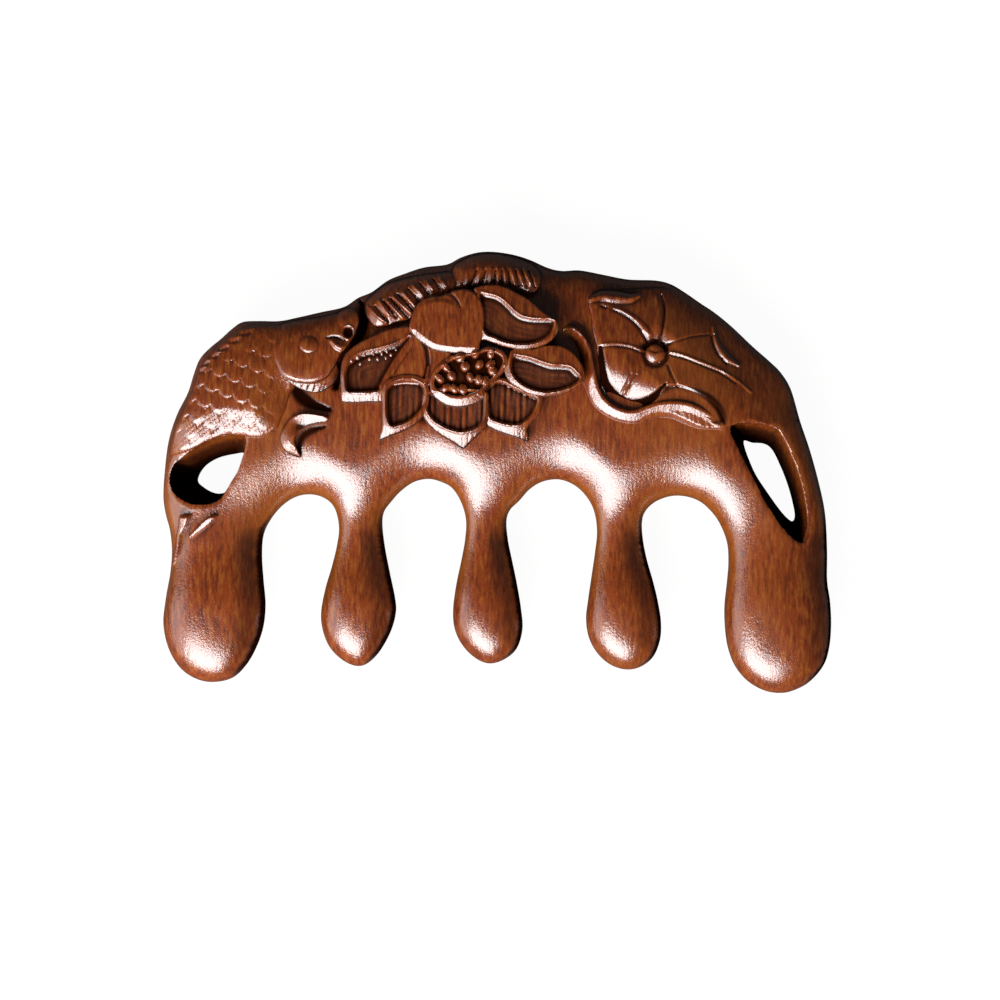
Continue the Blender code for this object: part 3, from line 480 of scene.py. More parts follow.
# The wood's figure and its pores, in waves per metre along X, Y and Z
FINE_GRAIN = (2100, 420, 900)
MIDDLE_GRAIN = (620, 55, 300)
BROAD_GRAIN = (70, 26, 60)
PORES = (3000, 2300, 3000)
GRAIN_ROUGHNESS = 0.6
PORE_STRENGTH = 0.75
PORE_DEPTH = 0.00006
# Shader values of the lacquer, and the range of staining and painted shade over which its shine is lost
LACQUER = {"IOR": 1.55, "Coat IOR": 2.0, "Coat Roughness": 0.2, "Coat Weight": 1.0, "Specular IOR Level": 0.3}
DULL_SHADE_AND_STAIN = (0.7, 1.2)

# The stage: a pale floor that glows only for the camera, and two soft lamps with their place, target, size
# and power
FLOOR_REACH = 3
FLOOR_DROP = 0.0002
PAPER = (0.10, 0.09, 0.085, 1)
PAPER_GLOW = 0.96
WORLD_STRENGTH = 0.03
LAMP_COLOUR = (0.96, 0.98, 1.0)
LAMPS = (
    ("softbox", (-0.16, -0.34, 0.325), (0, 0.005, 0.01), (0.47, 0.31), 3.6),
    ("left_panel", (-0.46, -0.10, 0.20), (0, 0, 0.01), (0.40, 0.36), 0.55),
)
LENS = 100
# The picture's width and middle on the drawing grid
PICTURE_WIDTH = 1000
PICTURE_MIDDLE = 500

# Painted shade on the right flanks of the teeth and on the right shoulder, which face away from the lamps
FLANK_FACING = (0.3, 0.95)
TOOTH_FLANK_PAINTED_SHADE = 1.35
TOOTH_FLANK_WIDTH = (2, 40)
TOOTH_FLANK_SPAN = (505, 545)
SHOULDER_PAINTED_SHADE = 0.8
SHOULDER_SHADE_WIDTH = (2, 45)
SHOULDER_SHADE_SPAN = (700, 770)
# Painted light: an amber glow painted along the edges between the teeth
GLOW_WIDTH = 16
GLOW_START = (470, 490)
GLOW_END = (560, 620)

# A hole's plug from below upwards, as shares of the front's height and of the flare from opening to rim:
# the height, then how far the leaning walls and the steep ones have flared
HOLE_SHARES = (
    (-0.2, 0, 0), (0.2, 0, 0), (0.3, 0.04, 0.6), (0.42, 0.14, 0.9), (0.55, 0.34, 0.99), (0.66, 0.6, 1.0),
    (0.76, 0.85, 1.0), (0.84, 1.0, 1.0), (1.35, 1.0, 1.0),
)
# Staining and painted shade gather in narrow and in wide hollows: how far each is looked round, and how much
# it counts
STAIN_AND_SHADE_REACHES = ((3.5, 0.9), (9, 0.35))
# Painted shade on the walls of the holes, taken partly off the leaning walls that face the lamps
WALL_PAINTED_SHADE = 1.7
LIT_WALL_SHADE_CUT = 1.6
LIT_WALL_FALL = 0.11
LIT_WALL_DEPTH = 12
WALL_MARGIN = 2
WALL_FOOT = 0.0012


class CombSizes(bpy.types.PropertyGroup):
    width: FloatProperty(
        name="Width", description="Length of the comb's back", unit="LENGTH", subtype="DISTANCE",
        default=round(CAD_HIGH[0] - CAD_LOW[0], 3), precision=4,
    )
    middle: FloatProperty(
        name="Middle plane", description="Height of the teeth's axes above the rear face", unit="LENGTH",
        subtype="DISTANCE", default=0.0070, precision=4,
    )
    front: FloatProperty(
        name="Front depth", description="How far the crowned front stands out from the middle plane",
        unit="LENGTH", subtype="DISTANCE", default=0.0062, precision=4,
    )
    rear: FloatProperty(
        name="Rear depth", description="Depth of the rear before it is cut flat", unit="LENGTH",
        subtype="DISTANCE", default=0.0084, precision=4,
    )
    rounding: FloatProperty(
        name="Rounding", description="How far in from the outline the surface keeps rounding over",
        unit="LENGTH", subtype="DISTANCE", default=0.0050, precision=4,
    )
    mesh_pitch: FloatProperty(
        name="Mesh pitch", description="Spacing of the body's mesh", unit="LENGTH", subtype="DISTANCE",
        default=0.00042, precision=5,
    )


class CombFinish(bpy.types.PropertyGroup):
    wood: FloatVectorProperty(
        name="Wood", description="Reddish-brown heartwood", subtype="COLOR", size=3,
        default=(0.35, 0.058, 0.008),
    )
    # Amber is used for lighter grain, and painted as a glow along the edges between the teeth
    amber: FloatVectorProperty(
        name="Amber", description="Lighter wood where the lacquer is thin", subtype="COLOR", size=3,
        default=(0.42, 0.115, 0.015),
    )
    # Dark is used for darker grain, and for the staining and painted shade in hollows, hole walls and on the
    # right flanks
    dark: FloatVectorProperty(
        name="Dark", description="Stain that stays in grooves and hollows", subtype="COLOR", size=3,
        default=(0.032, 0.0070, 0.0028),
    )
    roughness: FloatProperty(
        name="Roughness", description="Roughness of the wood under the lacquer", default=0.34, min=0, max=1,
    )


def sizes():
    """The comb's sizes in the open scene."""
    return bpy.context.scene.comb_sizes


def finish():
    """The comb's colours in the open scene."""
    return bpy.context.scene.comb_finish


def grid_unit():
    """Length in metres of one unit of the drawing grid."""
    return sizes().width / GRID_WIDTH


def at(grid):
    """Places in metres of points on the drawing grid."""
    grid = np.asarray(grid, float)
    return np.stack([(grid[:, 0] - GRID_CENTRE[0]), (GRID_CENTRE[1] - grid[:, 1])], 1) * grid_unit()


def curve_between(before, start, end, after, t):
    """Points at the shares t from start to end of a smooth curve that also follows the outer two points."""
    return (
        start * 2 + (end - before) * t + (2 * before - 5 * start + 4 * end - after) * t**2
        + (3 * start - before - 3 * end + after) * t**3
    ) / 2


def smooth_line(points, spacing, closed):
    """A curve through the points, read every spacing along it."""
    points = np.asarray(points, float)
    if closed:
        points = np.concatenate([points[-1:], points, points[:2]])
    else:
        points = np.concatenate([points[:1], points, points[-1:]])
    t = np.linspace(0, 1, CURVE_STEPS, endpoint=False)[:, None, None]
    curve = curve_between(points[:-3], points[1:-2], points[2:-1], points[3:], t)
    curve = curve.transpose(1, 0, 2).reshape(-1, points.shape[1])
    curve = np.concatenate([curve, curve[:1] if closed else points[-1:]])
    lengths = np.concatenate([[0], np.cumsum(np.linalg.norm(np.diff(curve[:, :2], axis=0), axis=1))])
    count = max(8, round(lengths[-1] / spacing))
    stops = np.linspace(0, lengths[-1], count + 1)
    stops = stops[:-1] if closed else stops
    return np.stack([np.interp(stops, lengths, column) for column in curve.T], 1)


def nearest(places, outline):
    """Index of the outline point that is nearest to each place."""
    tree = KDTree(len(outline))
    for index, (x, y) in enumerate(outline.tolist()):
        tree.insert((x, y, 0), index)
    tree.balance()
    return np.array([tree.find((x, y, 0))[1] for x, y in places.tolist()], int)


def turning(outline):
    """1 where an outline runs anticlockwise, otherwise -1."""
    after = np.roll(outline, -1, axis=0)
    return math.copysign(1, (outline[:, 0] * after[:, 1] - outline[:, 1] * after[:, 0]).sum())


def outward(outline):
    """Unit directions that point out of an outline at each of its points."""
    run = np.roll(outline, -1, axis=0) - np.roll(outline, 1, axis=0)
    return np.stack([run[:, 1], -run[:, 0]], 1) / np.linalg.norm(run, axis=1)[:, None] * turning(outline)


def edge_depth(places, outline):
    """How far each place is inside an evenly read outline; outside it is negative."""
    found = nearest(places, outline)
    count = len(outline)
    sense = turning(outline)
    distances, sides = [], []
    for first in ((found - 1) % count, found):
        start = outline[first]
        run = outline[(first + 1) % count] - start
        length = np.linalg.norm(run, axis=1)
        offset = places - start
        share = np.clip((offset * run).sum(1) / length**2, 0, 1)
        distances.append(np.linalg.norm(offset - share[:, None] * run, axis=1))
        sides.append((run[:, 0] * offset[:, 1] - run[:, 1] * offset[:, 0]) / length * sense)
    before, after = distances
    tie = np.abs(before - after) < 1e-9
    side = np.where(tie, sides[0] + sides[1], np.where(before < after, sides[0], sides[1]))
    return np.where(side > 0, 1, -1) * np.minimum(before, after)


def plate(outline, pitch, rings):
    """Points and triangles that fill an outline: rings close to the edge, then an even lattice."""
    points = [outline]
    for ring in rings:
        moved = outline - outward(outline) * ring
        points.append(moved[edge_depth(moved, outline) > ring * 0.97])
    low, high = outline.min(0), outline.max(0)
    columns = np.arange(low[0], high[0], pitch)
    rows = np.arange(low[1], high[1], pitch * math.sqrt(3) / 2)
    x, y = np.meshgrid(columns, rows)
    x[1::2] += pitch / 2
    lattice = np.stack([x.ravel(), y.ravel()], 1)
    last = rings[-1] if rings else 0
    points.append(lattice[edge_depth(lattice, outline) > last + pitch * 0.6])
    points = np.concatenate(points)
    count = len(outline)
    edges = [(k, (k + 1) % count) for k in range(count)]
    scale = 1 / pitch
    found = delaunay_2d_cdt([Vector(p) for p in points * scale], edges, [], 1, 1e-5)
    places = np.array([tuple(v) for v in found[0]]) / scale
    rim = np.zeros(len(places), bool)
    sources = found[3]
    for index, source in enumerate(sources):
        rim[index] = any(s < count for s in source)
    return places, np.array([tuple(f) for f in found[2]]), rim


def inflate(places, triangles, rim, reach):
    """The share of full thickness, squared, that a rounded plate has: 0 on its rim, 1 far inside.

    It solves h - reach^2 * laplacian(h) = 1 on the triangles, by conjugate gradients.
    """
    count = len(places)
    corners = places[triangles]
    weights, sources, targets = [], [], []
    doubled = np.abs(np.cross(corners[:, 1] - corners[:, 0], corners[:, 2] - corners[:, 0]))
    for k in range(3):
        a = corners[:, (k + 1) % 3] - corners[:, k]
        b = corners[:, (k + 2) % 3] - corners[:, k]
        weights.append((a * b).sum(1) / np.maximum(doubled, 1e-16) / 2)
        sources.append(triangles[:, (k + 1) % 3])
        targets.append(triangles[:, (k + 2) % 3])
    weights, sources, targets = map(np.concatenate, (weights, sources, targets))
    mass = np.bincount(triangles.ravel(), np.repeat(doubled / 6, 3), count)
    diagonal = np.bincount(sources, weights, count) + np.bincount(targets, weights, count)
    free = ~rim

    def spread(h):
        flow = weights * (h[sources] - h[targets])
        bent = np.bincount(sources, flow, count) - np.bincount(targets, flow, count)
        return free * (mass * h + reach**2 * bent)

    scale = free / (mass + reach**2 * diagonal)
    h = np.zeros(count)
    rest = free * mass
    guide = scale * rest
    push = guide.copy()
    energy = rest @ guide
    for _ in range(400):
        spread_push = spread(push)
        step = energy / (push @ spread_push)
        h += step * push
        rest = rest - step * spread_push
        guide = scale * rest
        fresh = rest @ guide
        if fresh < 1e-16 * mass.sum():
            break
        push = guide + push * fresh / energy
        energy = fresh
    return np.clip(h, 0, 1)


def ease(value, start, end):
    """0 before start, 1 after end, smooth between."""
    t = np.clip((value - start) / (end - start), 0, 1)
    return t * t * (3 - 2 * t)


def to_grid(places):
    """Points on the drawing grid of places in metres."""
    unit = grid_unit()
    return np.stack([GRID_CENTRE[0] + places[:, 0] / unit, GRID_CENTRE[1] - places[:, 1] / unit], 1)


def body_outline():
    """The comb's whole outline on the drawing grid."""
    return smooth_line(BACK_OUTLINE + TEETH_OUTLINE, OUTLINE_SPACING, closed=True)


def hollows(z, edges, rounds):
    """How deep each vertex lies under the average of its surroundings, in metres."""
    count = len(z)
    a, b = edges
    share = np.bincount(a, minlength=count) + np.bincount(b, minlength=count)
    around = z.copy()
    for _ in range(rounds):
        around = (np.bincount(a, around[b], count) + np.bincount(b, around[a], count)) / np.maximum(share, 1)
    return around - z


def add_piece(name, bm, material, nodes):
    """Turn a finished shape into an object that stands for its nodes, smooth but for sharp creases."""
    for face in bm.faces:
        face.smooth = True
    for edge in bm.edges:
        edge.smooth = len(edge.link_faces) < 2 or edge.calc_face_angle() < CREASE
    mesh = bpy.data.meshes.new(name)
    bm.to_mesh(mesh)
    bm.free()
    mesh.materials.append(material)
    piece = bpy.data.objects.new(name, mesh)
    bpy.context.scene.collection.objects.link(piece)
    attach(piece, "root")
    if nodes:
        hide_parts(*nodes)
    return piece


def stain_and_shade(places, z, triangles):
    """Darkness from staining and painted shade at each vertex: more the deeper it lies under its
    surroundings.
    """
    sides = np.concatenate([triangles[:, (0, 1)], triangles[:, (1, 2)], triangles[:, (2, 0)]])
    sides = np.unique(np.sort(sides, axis=1), axis=0).T
    unit = grid_unit()
    spacing = np.linalg.norm(places[sides[0]] - places[sides[1]], axis=1).mean() / unit
    amount = np.zeros(len(z))
    for reach, share in STAIN_AND_SHADE_REACHES:
        amount += share * hollows(z, sides, round((reach / spacing) ** 2)) / unit
    return np.clip(amount, -1, 1)


def wall_down(bm, low):
    """Close a sheet into a solid: copy it down to one height and join the two round the edge."""
    grown = bmesh.ops.extrude_face_region(bm, geom=bm.faces[:], use_keep_orig=True)
    copies = [item for item in grown["geom"] if isinstance(item, bmesh.types.BMVert)]
    for copy in copies:
        copy.co.z = low
    bmesh.ops.recalc_face_normals(bm, faces=bm.faces)


def body_mesh():
    """Points and triangles of the body's outline, with the heights of its front and its rear."""
    outline = at(body_outline())
    settings = sizes()
    pitch = settings.mesh_pitch * 1
    rings = [pitch * share for share in (0.06, 0.25, 0.55, 1.0)]
    places, triangles, rim = plate(outline, pitch, rings)
    share = np.sqrt(inflate(places, triangles, rim, settings.rounding))
    grid = to_grid(places)
    x, y = grid.T
    end = ease(np.abs(x - GRID_CENTRE[0]), *END_TEETH_SPAN)
    fullness = 1 + ease(y, *TEETH_SPAN) * (TEETH_SWELL_SHARE - END_TEETH_SHARE * end)
    front = settings.middle + settings.front * share * fullness
    crest = smooth_line(CRESTS, CREST_SPACING, closed=False)
    below = y - np.interp(x, crest[:, 0], crest[:, 1])
    dip = DIP_DEPTH * ease(below, *DIP_SLOPE) * (1 - ease(y, *DIP_FOOT))
    dip *= 1 - DIP_RIGHT_SHARE * ease(x, *DIP_RIGHT_SPAN)
    slump = 1 - ease(edge_depth(places, outline) / grid_unit(), *SHOULDER_WIDTH)
    slump *= SHOULDER_DROP * ease(x, *SHOULDER_SPAN) * (1 - ease(y, *SHOULDER_FOOT))
    front = np.maximum(front - (dip + slump) * share * grid_unit(), settings.middle)
    rear_depth = settings.rear + (settings.front * REAR_TEETH_SHARE - settings.rear) * ease(y, *REAR_SPAN)
    rear = np.maximum(settings.middle - rear_depth * share * fullness, 0)
    return places, triangles, rim, front, rear


def body_cuts(grid):
    """How far the back is cut down between and round the carved forms, in grid units."""
    cut = SEAT_DEPTH * patch(grid, FLOWER_SEAT, SEAT_SLOPE)
    for line, depth, _ in HOLLOW_LINES:
        cut += ridge(grid, line, depth)
    cut += HIGH_HOLLOW_DEPTH * patch(grid, HIGH_HOLLOW, HIGH_HOLLOW_SLOPE)
    for _, _, rim in HOLES:
        outside = -edge_depth(grid, smooth_line(rim, FINE_SPACING, closed=True))
        cut += RIM_CUT * (1 - ease(outside, *RIM_CUT_SPAN))
    return cut


def body_shade(grid, depth):
    """Painted shade in the deep cuts of the back and on the right flanks of the teeth and shoulder, and
    painted shadows beside the tail's rays.
    """
    shade = np.zeros(len(grid))
    for line, _, amount in HOLLOW_LINES:
        shade += ridge(grid, line, amount)
    for line, amount in TAIL_SHADOWS:
        shade += ridge(grid, line, amount)
    line = body_outline()
    right = ease(outward(line)[nearest(grid, line)][:, 0], *FLANK_FACING)
    low = ease(grid[:, 1], *TOOTH_FLANK_SPAN)
    shade += TOOTH_FLANK_PAINTED_SHADE * right * (1 - ease(depth, *TOOTH_FLANK_WIDTH)) * low
    above = ease(grid[:, 0], *SHOULDER_SHADE_SPAN) * (1 - low)
    return shade + SHOULDER_PAINTED_SHADE * right * (1 - ease(depth, *SHOULDER_SHADE_WIDTH)) * above


def make_body(material):
    """Make the back and teeth as one skin, and return the uncut front that the carving stands on."""
    places, triangles, rim, front, rear = body_mesh()
    grid = to_grid(places)
    cut = np.minimum(body_cuts(grid) * grid_unit(), np.maximum(front - rear - LEAST_THICKNESS, 0))
    ground = (places, triangles, front)
    front = front - np.where(rim, 0, cut)
    depth = edge_depth(grid, body_outline())
    # Staining and painted shade, darker in hollows, in the deep cuts and on the right flanks
    body_shade_and_stain = stain_and_shade(places, front, triangles) * ease(depth, 1, 6) + body_shade(grid, depth)
    y = grid[:, 1]
    # Painted glow along the edges between the teeth
    amber = (1 - ease(depth, 0, GLOW_WIDTH)) * ease(y, *GLOW_START) * (1 - ease(y, *GLOW_END))
    bm = bmesh.new()
    mark = bm.verts.layers.float.new("stain_and_shade")
    painted_glow = bm.verts.layers.float.new("painted_glow")
    tops = [bm.verts.new((x, y, z)) for (x, y), z in zip(places, front)]
    lows = [top if edge else bm.verts.new((x, y, z)) for top, edge, (x, y), z in zip(tops, rim, places, rear)]
    for vertex, dark, light in zip(tops, body_shade_and_stain, amber):
        vertex[mark] = dark
        vertex[painted_glow] = light
    for a, b, c in triangles.tolist():
        bm.faces.new((tops[a], tops[b], tops[c]))
        if not (rim[a] and rim[b] and rim[c]):
            bm.faces.new((lows[c], lows[b], lows[a]))
    piece = add_piece("carved_body", bm, material, ["carved_back", *(f"tooth_{k}" for k in range(1, 6))])
    for name, opening, rim in HOLES:
        pierce(piece, hole_cutter(name, opening, rim))
        paint_wall_shade(piece.data, rim)
    return ground


def leaning(up, right):
    """1 on the walls of a hole that lean outwards, which are the upper and the right ones."""
    return np.maximum(ease(up, 0.5, 0.95), ease(right, 0.3, 0.8))


def paint_wall_shade(mesh, rim):
    """Paint shade on the walls of a hole, least where a leaning wall, which faces the lamps, meets the front.
    """
    spots = np.empty(len(mesh.vertices) * 3)
    mesh.vertices.foreach_get("co", spots)
    spots = spots.reshape(-1, 3)
    grid = to_grid(spots[:, :2])
    low, high = np.min(rim, 0) - WALL_MARGIN, np.max(rim, 0) + WALL_MARGIN
    near = np.flatnonzero(((grid > low) & (grid < high)).all(1) & (spots[:, 2] > WALL_FOOT))
    line = smooth_line(rim, FINEST_SPACING, closed=True)
    depth = edge_depth(grid[near], line)
    way = outward(line)[nearest(grid[near], line)]
    fall = LIT_WALL_SHADE_CUT - LIT_WALL_FALL * np.clip(depth, 0, LIT_WALL_DEPTH)
    dark = WALL_PAINTED_SHADE - leaning(-way[:, 1], way[:, 0]) * fall
    marks = mesh.attributes["stain_and_shade"].data
    for index, inside, value in zip(near.tolist(), depth > -0.35, dark.tolist()):
        if inside:
            marks[index].value = value


def hole_cutter(name, opening, rim):
    """A flared plug: narrow where the hole leaves at the rear, wide where it opens at the front.

    Its upper and right walls lean outwards, the others stand steeply.
    """
    settings = sizes()
    narrow, broad = at(even_spans(opening)), at(even_spans(rim))
    way = outward(broad)
    lean = leaning(way[:, 1], way[:, 0])[:, None]
    reach = settings.middle + settings.front
    bm = bmesh.new()
    loops = []
    for level, gentle, steep in HOLE_SHARES:
        ring = bmesh.ops.create_circle(bm, segments=len(narrow), radius=1)["verts"]
        flare = steep + (gentle - steep) * lean
        for vertex, place in zip(ring, narrow + (broad - narrow) * flare):
            vertex.co = (*place, reach * level)
        loops.append(ring)
    for low, high in zip(loops, loops[1:]):
        edges = {e for v in low for e in v.link_edges if e.other_vert(v) in low}
        edges |= {e for v in high for e in v.link_edges if e.other_vert(v) in high}
        bmesh.ops.bridge_loops(bm, edges=list(edges))
    for ring in (loops[0], loops[-1]):
        bmesh.ops.contextual_create(bm, geom=ring)
    bmesh.ops.recalc_face_normals(bm, faces=bm.faces)
    for face in bm.faces:
        face.smooth = True
    mesh = bpy.data.meshes.new(name)
    bm.to_mesh(mesh)
    bm.free()
    cutter = bpy.data.objects.new(name, mesh)
    bpy.context.scene.collection.objects.link(cutter)
    return cutter


def even_spans(points):
    """A smooth closed line read at the same number of steps between each two of its points."""
    points = np.asarray(points, float)
    corners = (np.roll(points, turn, axis=0)[:, None, :] for turn in (1, 0, -1, -2))
    t = np.linspace(0, 1, HOLE_STEPS, endpoint=False)[None, :, None]
    return curve_between(*corners, t).reshape(-1, 2)


def pierce(piece, cutter):
    """Cut a shape out of a piece, then discard the shape."""
    cut = piece.modifiers.new("pierce", "BOOLEAN")
    cut.operation = "DIFFERENCE"
    cut.solver = "EXACT"
    cut.object = cutter
    shaped = bpy.data.meshes.new_from_object(piece.evaluated_get(bpy.context.evaluated_depsgraph_get()))
    piece.modifiers.remove(cut)
    spent = piece.data
    shaped.name = spent.name
    piece.data = shaped
    bpy.data.meshes.remove(spent)
    spent = cutter.data
    bpy.data.objects.remove(cutter)
    bpy.data.meshes.remove(spent)


def line_reach(grid, line):
    """Distance from each place to a line, and the line's own width at the nearest point."""
    start, end = line[:-1], line[1:]
    run = end[:, :2] - start[:, :2]
    offset = grid[:, None, :] - start[None, :, :2]
    share = np.clip((offset * run).sum(2) / np.maximum((run**2).sum(1), 1e-9), 0, 1)
    distance = np.linalg.norm(offset - share[..., None] * run, axis=2)
    nearest = distance.argmin(1)
    rows = np.arange(len(grid))
    share = share[rows, nearest]
    return distance[rows, nearest], start[nearest, 2] * (1 - share) + end[nearest, 2] * share


def line_distance(grid, points):
    """Distance from each place to a smooth open line."""
    return line_reach(grid, smooth_line([(*p, 1) for p in points], FINE_SPACING, closed=False))[0]


def ridge(grid, points, height):
    """A rounded ridge along a line, or a groove where the height is negative.

    Each point carries the ridge's half width there.
    """
    line = smooth_line(points, RIDGE_SPACING, closed=False)
    reach = line[:, 2].max()
    low, high = line[:, :2].min(0) - reach, line[:, :2].max(0) + reach
    near = ((grid >= low) & (grid <= high)).all(1)
    rise = np.zeros(len(grid))
    if near.any():
        distance, half = line_reach(grid[near], line)
        rise[near] = height * np.clip(1 - (distance / np.maximum(half, 0.01)) ** 2, 0, 1) ** 2
    return rise


def ridges(grid, lines):
    """The ridges and grooves of a table of lines and heights, added together."""
    return sum(ridge(grid, points, height) for points, height in lines)


def patch(grid, outline, soft):
    """1 well inside an outline, 0 outside, rising over the soft width from its edge inwards."""
    return ease(edge_depth(grid, smooth_line(outline, FINE_SPACING, closed=True)), 0, soft)


def bevel(depth, width, slope):
    """How far a form falls towards its edge, over a given width."""
    return slope * np.maximum(width - depth, 0)


def swell(depth, width, power):
    """A share that grows steeply from 0 at a form's edge to 1 at the given width."""
    return 1 - (1 - np.clip(depth / width, 0, 1)) ** power


def dome(grid, centre, radii, turn=0):
    """A half ellipsoid of height 1, turned by an angle in degrees."""
    across = grid - np.array(centre)
    c, s = math.cos(math.radians(turn)), math.sin(math.radians(turn))
    along, side = across[:, 0] * c + across[:, 1] * s, across[:, 1] * c - across[:, 0] * s
    return np.sqrt(np.clip(1 - (along / radii[0]) ** 2 - (side / radii[1]) ** 2, 0, 1))


class Carver:
    """Stands carved forms on the crowned front of the body."""

    def __init__(self, ground, material):
        places, triangles, front = ground
        points = [(x, y, z) for (x, y), z in zip(places, front)]
        self.tree = BVHTree.FromPolygons(points, triangles.tolist())
        self.material = material

    def ground(self, places):
        """Height of the body's front under each place."""
        down = Vector((0, 0, -1))
        heights = []
        for x, y in places:
            hit = self.tree.ray_cast(Vector((x, y, 1)), down)[0]
            heights.append(sizes().middle if hit is None else hit.z)
        return np.array(heights)

    def carve(self, name, outline, rise, pitch=1.15, nodes=None, shade=1.0):
        """Make one form: its outline, and its height over the body, all in grid units."""
        unit = grid_unit()
        pitch *= 1
        line = smooth_line(outline, pitch * 0.9, closed=True)
        rings = [pitch * unit * share for share in (0.35, 0.85)]
        places, triangles, _ = plate(at(line), pitch * unit, rings)
        grid = to_grid(places)
        depth = np.maximum(edge_depth(grid, line), 0)
        lift = rise(grid, depth)
        lift, extra = lift if isinstance(lift, tuple) else (lift, 0)
        lift = lift - ARRIS_DROP * (1 - swell(depth, ARRIS_WIDTH, 2))
        floor = self.ground(places)
        top = floor + lift * unit
        low = max(LEAST_HEIGHT, floor.min() - SEAT_REACH * unit)
        bm = bmesh.new()
        mark = bm.verts.layers.float.new("stain_and_shade")
        verts = [bm.verts.new((x, y, z)) for (x, y), z in zip(places, top)]
        # Staining and painted shade, darker in the form's hollows, with what its rise adds
        for vertex, value in zip(verts, stain_and_shade(places, top, triangles) * shade + extra):
            vertex[mark] = value
        for corners in triangles.tolist():
            bm.faces.new([verts[k] for k in corners])
        wall_down(bm, low)
        return add_piece(f"{name}_carving", bm, self.material, [name] if nodes is None else nodes)


def wave(grid, along, down, start=0.0):
    """A wave over the drawing, turning by so many radians for each unit along and down."""
    return np.sin(along * grid[:, 0] + down * grid[:, 1] + start)


def scales(grid):
    """Overlapping scales: each rises towards its rounded lower edge and covers the one below."""
    rise = np.zeros(len(grid))
    (left, right), (top, bottom) = SCALE_REGION
    places = []
    for row in range(-5, 7):
        for column in range(-12, 8):
            x = SCALE_ORIGIN[0] + SCALE_ROW[0] * column + SCALE_COLUMN[0] * row
            y = SCALE_ORIGIN[1] + SCALE_ROW[1] * column + SCALE_COLUMN[1] * row
            if left < x < right and top < y < bottom:
                places.append((y - 0.36 * x, x, y))
    for _, x, y in sorted(places, reverse=True):
        across, down = (grid[:, 0] - x) / SCALE_RADIUS, (grid[:, 1] - y) / SCALE_RADIUS
        reach = np.where(down > 0, across**2 + down**2, across**2 + (down / 1.8) ** 2)
        edge = (1 - np.sqrt(np.minimum(reach, 1))) * SCALE_RADIUS
        rise = np.where(reach < 1, 0.9 + 0.9 * down - bevel(edge, width=2.6, slope=0.5), rise)
    return rise


def fish_body_rise(grid, depth):
    """A flank that swells away from its keel, scaled above, finely streaked below, nicked along the back."""
    x, y = grid.T
    reach = line_distance(grid, KEEL)
    rise = KEEL_LEVEL + FLANK_SLOPE * np.minimum(reach, FLANK_WIDTH)
    rise += BACK_SWELL * (1 - np.exp(-np.maximum(reach - FLANK_WIDTH, 0) / BACK_FADE))
    rise -= 1.2 * (1 - swell(depth, width=5, power=2))
    rise = np.minimum(rise, 1.1 * line_distance(grid, FISH_NECK) - 0.8)
    shown = ease(y - 372 + (x - 200) * 0.5, -8, 12) * ease(depth, 1, 6) * ease(282 - x, 0, 8)
    rise += scales(grid) * shown * (SCALE_HEIGHT + SCALE_HEIGHT_ABOVE * ease(reach, 16, 30))
    streaks = wave(grid, 1.5, 0.3, QUARTER_TURN) * wave(grid, 0.57, -0.9, QUARTER_TURN)
    rise += STREAK_HEIGHT * streaks * (1 - ease(reach, 22, 34)) * ease(depth, 0, 4)
    for across, down in BACK_NICKS:
        raised = [(across - 7, down + 2, 1.5), (across, down, 2.4), (across + 8, down - 1, 1.5)]
        rise += ridge(grid, raised, 1.0)
        rise += ridge(grid, [(across - 4, down + 6, 1.5), (across + 4, down + 4, 3)], -1.4)
    return rise


def fish_head_rise(grid, depth):
    """A domed head with its eye, nostril and lips, lowest where it comes out of the body."""
    low, _ = facing(grid, FISH_HEAD)
    rise = HEAD_LEVEL + HEAD_SWELL * swell(depth, width=16, power=2)
    rise -= HEAD_NECK_DROP * (1 - ease(grid[:, 0], 274, 290)) * (1 - ease(grid[:, 1], 330, 354))
    rise -= bevel(depth, width=1.2 + 2.2 * low, slope=0.45)
    rise += EYE_HEIGHT * dome(grid, EYE, (9, 8)) + SNOUT_HEIGHT * dome(grid, SNOUT, (12, 12))
    rise += ridge(grid, [(*place, 2.4) for place in NOSTRIL_RIM], 1.0) + ridges(grid, MOUTH)
    pit = dome(grid, NOSTRIL, (6, 6.5))
    # The nostril's pit is darkened with painted shade
    return rise - NOSTRIL_DEPTH * pit, 1.2 * pit


def frill_rise(grid, depth):
    """The gill's frill: a ledge that slopes down to its edge, combed by fine dark streaks."""
    streak = np.maximum(wave(grid, 1.35, 0.55) * wave(grid, 0.53, 0.2, 1), 0) * ease(depth, 0, 2)
    return FRILL_LEVEL - bevel(depth, width=9, slope=0.44) - streak, 0.1 + 0.9 * streak


def fish_fin_rise(grid, depth):
    """A crescent that rises inwards from its outer edge, and turns over to face up at its top."""
    reach = line_distance(grid, FIN_EDGE)
    top = ease(438 - grid[:, 1], 0, 13) * ease(grid[:, 0], 289, 301)
    side = FIN_LEVEL + 0.44 * np.minimum(reach, 9.5)
    return side * (1 - top) + (FIN_TOP_LEVEL - 0.46 * np.maximum(reach - 1.5, 0)) * top


def fish_tail_rise(grid, depth):
    """Two rays whose tops slope down to the left tooth, over a web sunk into the back."""
    y = grid[:, 1]
    rise = np.full(len(grid), -TAIL_SUNK)
    for outline, slope, foot in TAIL_STROKES:
        height = 1 + slope * np.maximum(foot - y, 0) * ease(y, 512, 518)
        rise += (height + TAIL_SUNK) * patch(grid, outline, 2.2)
    return rise


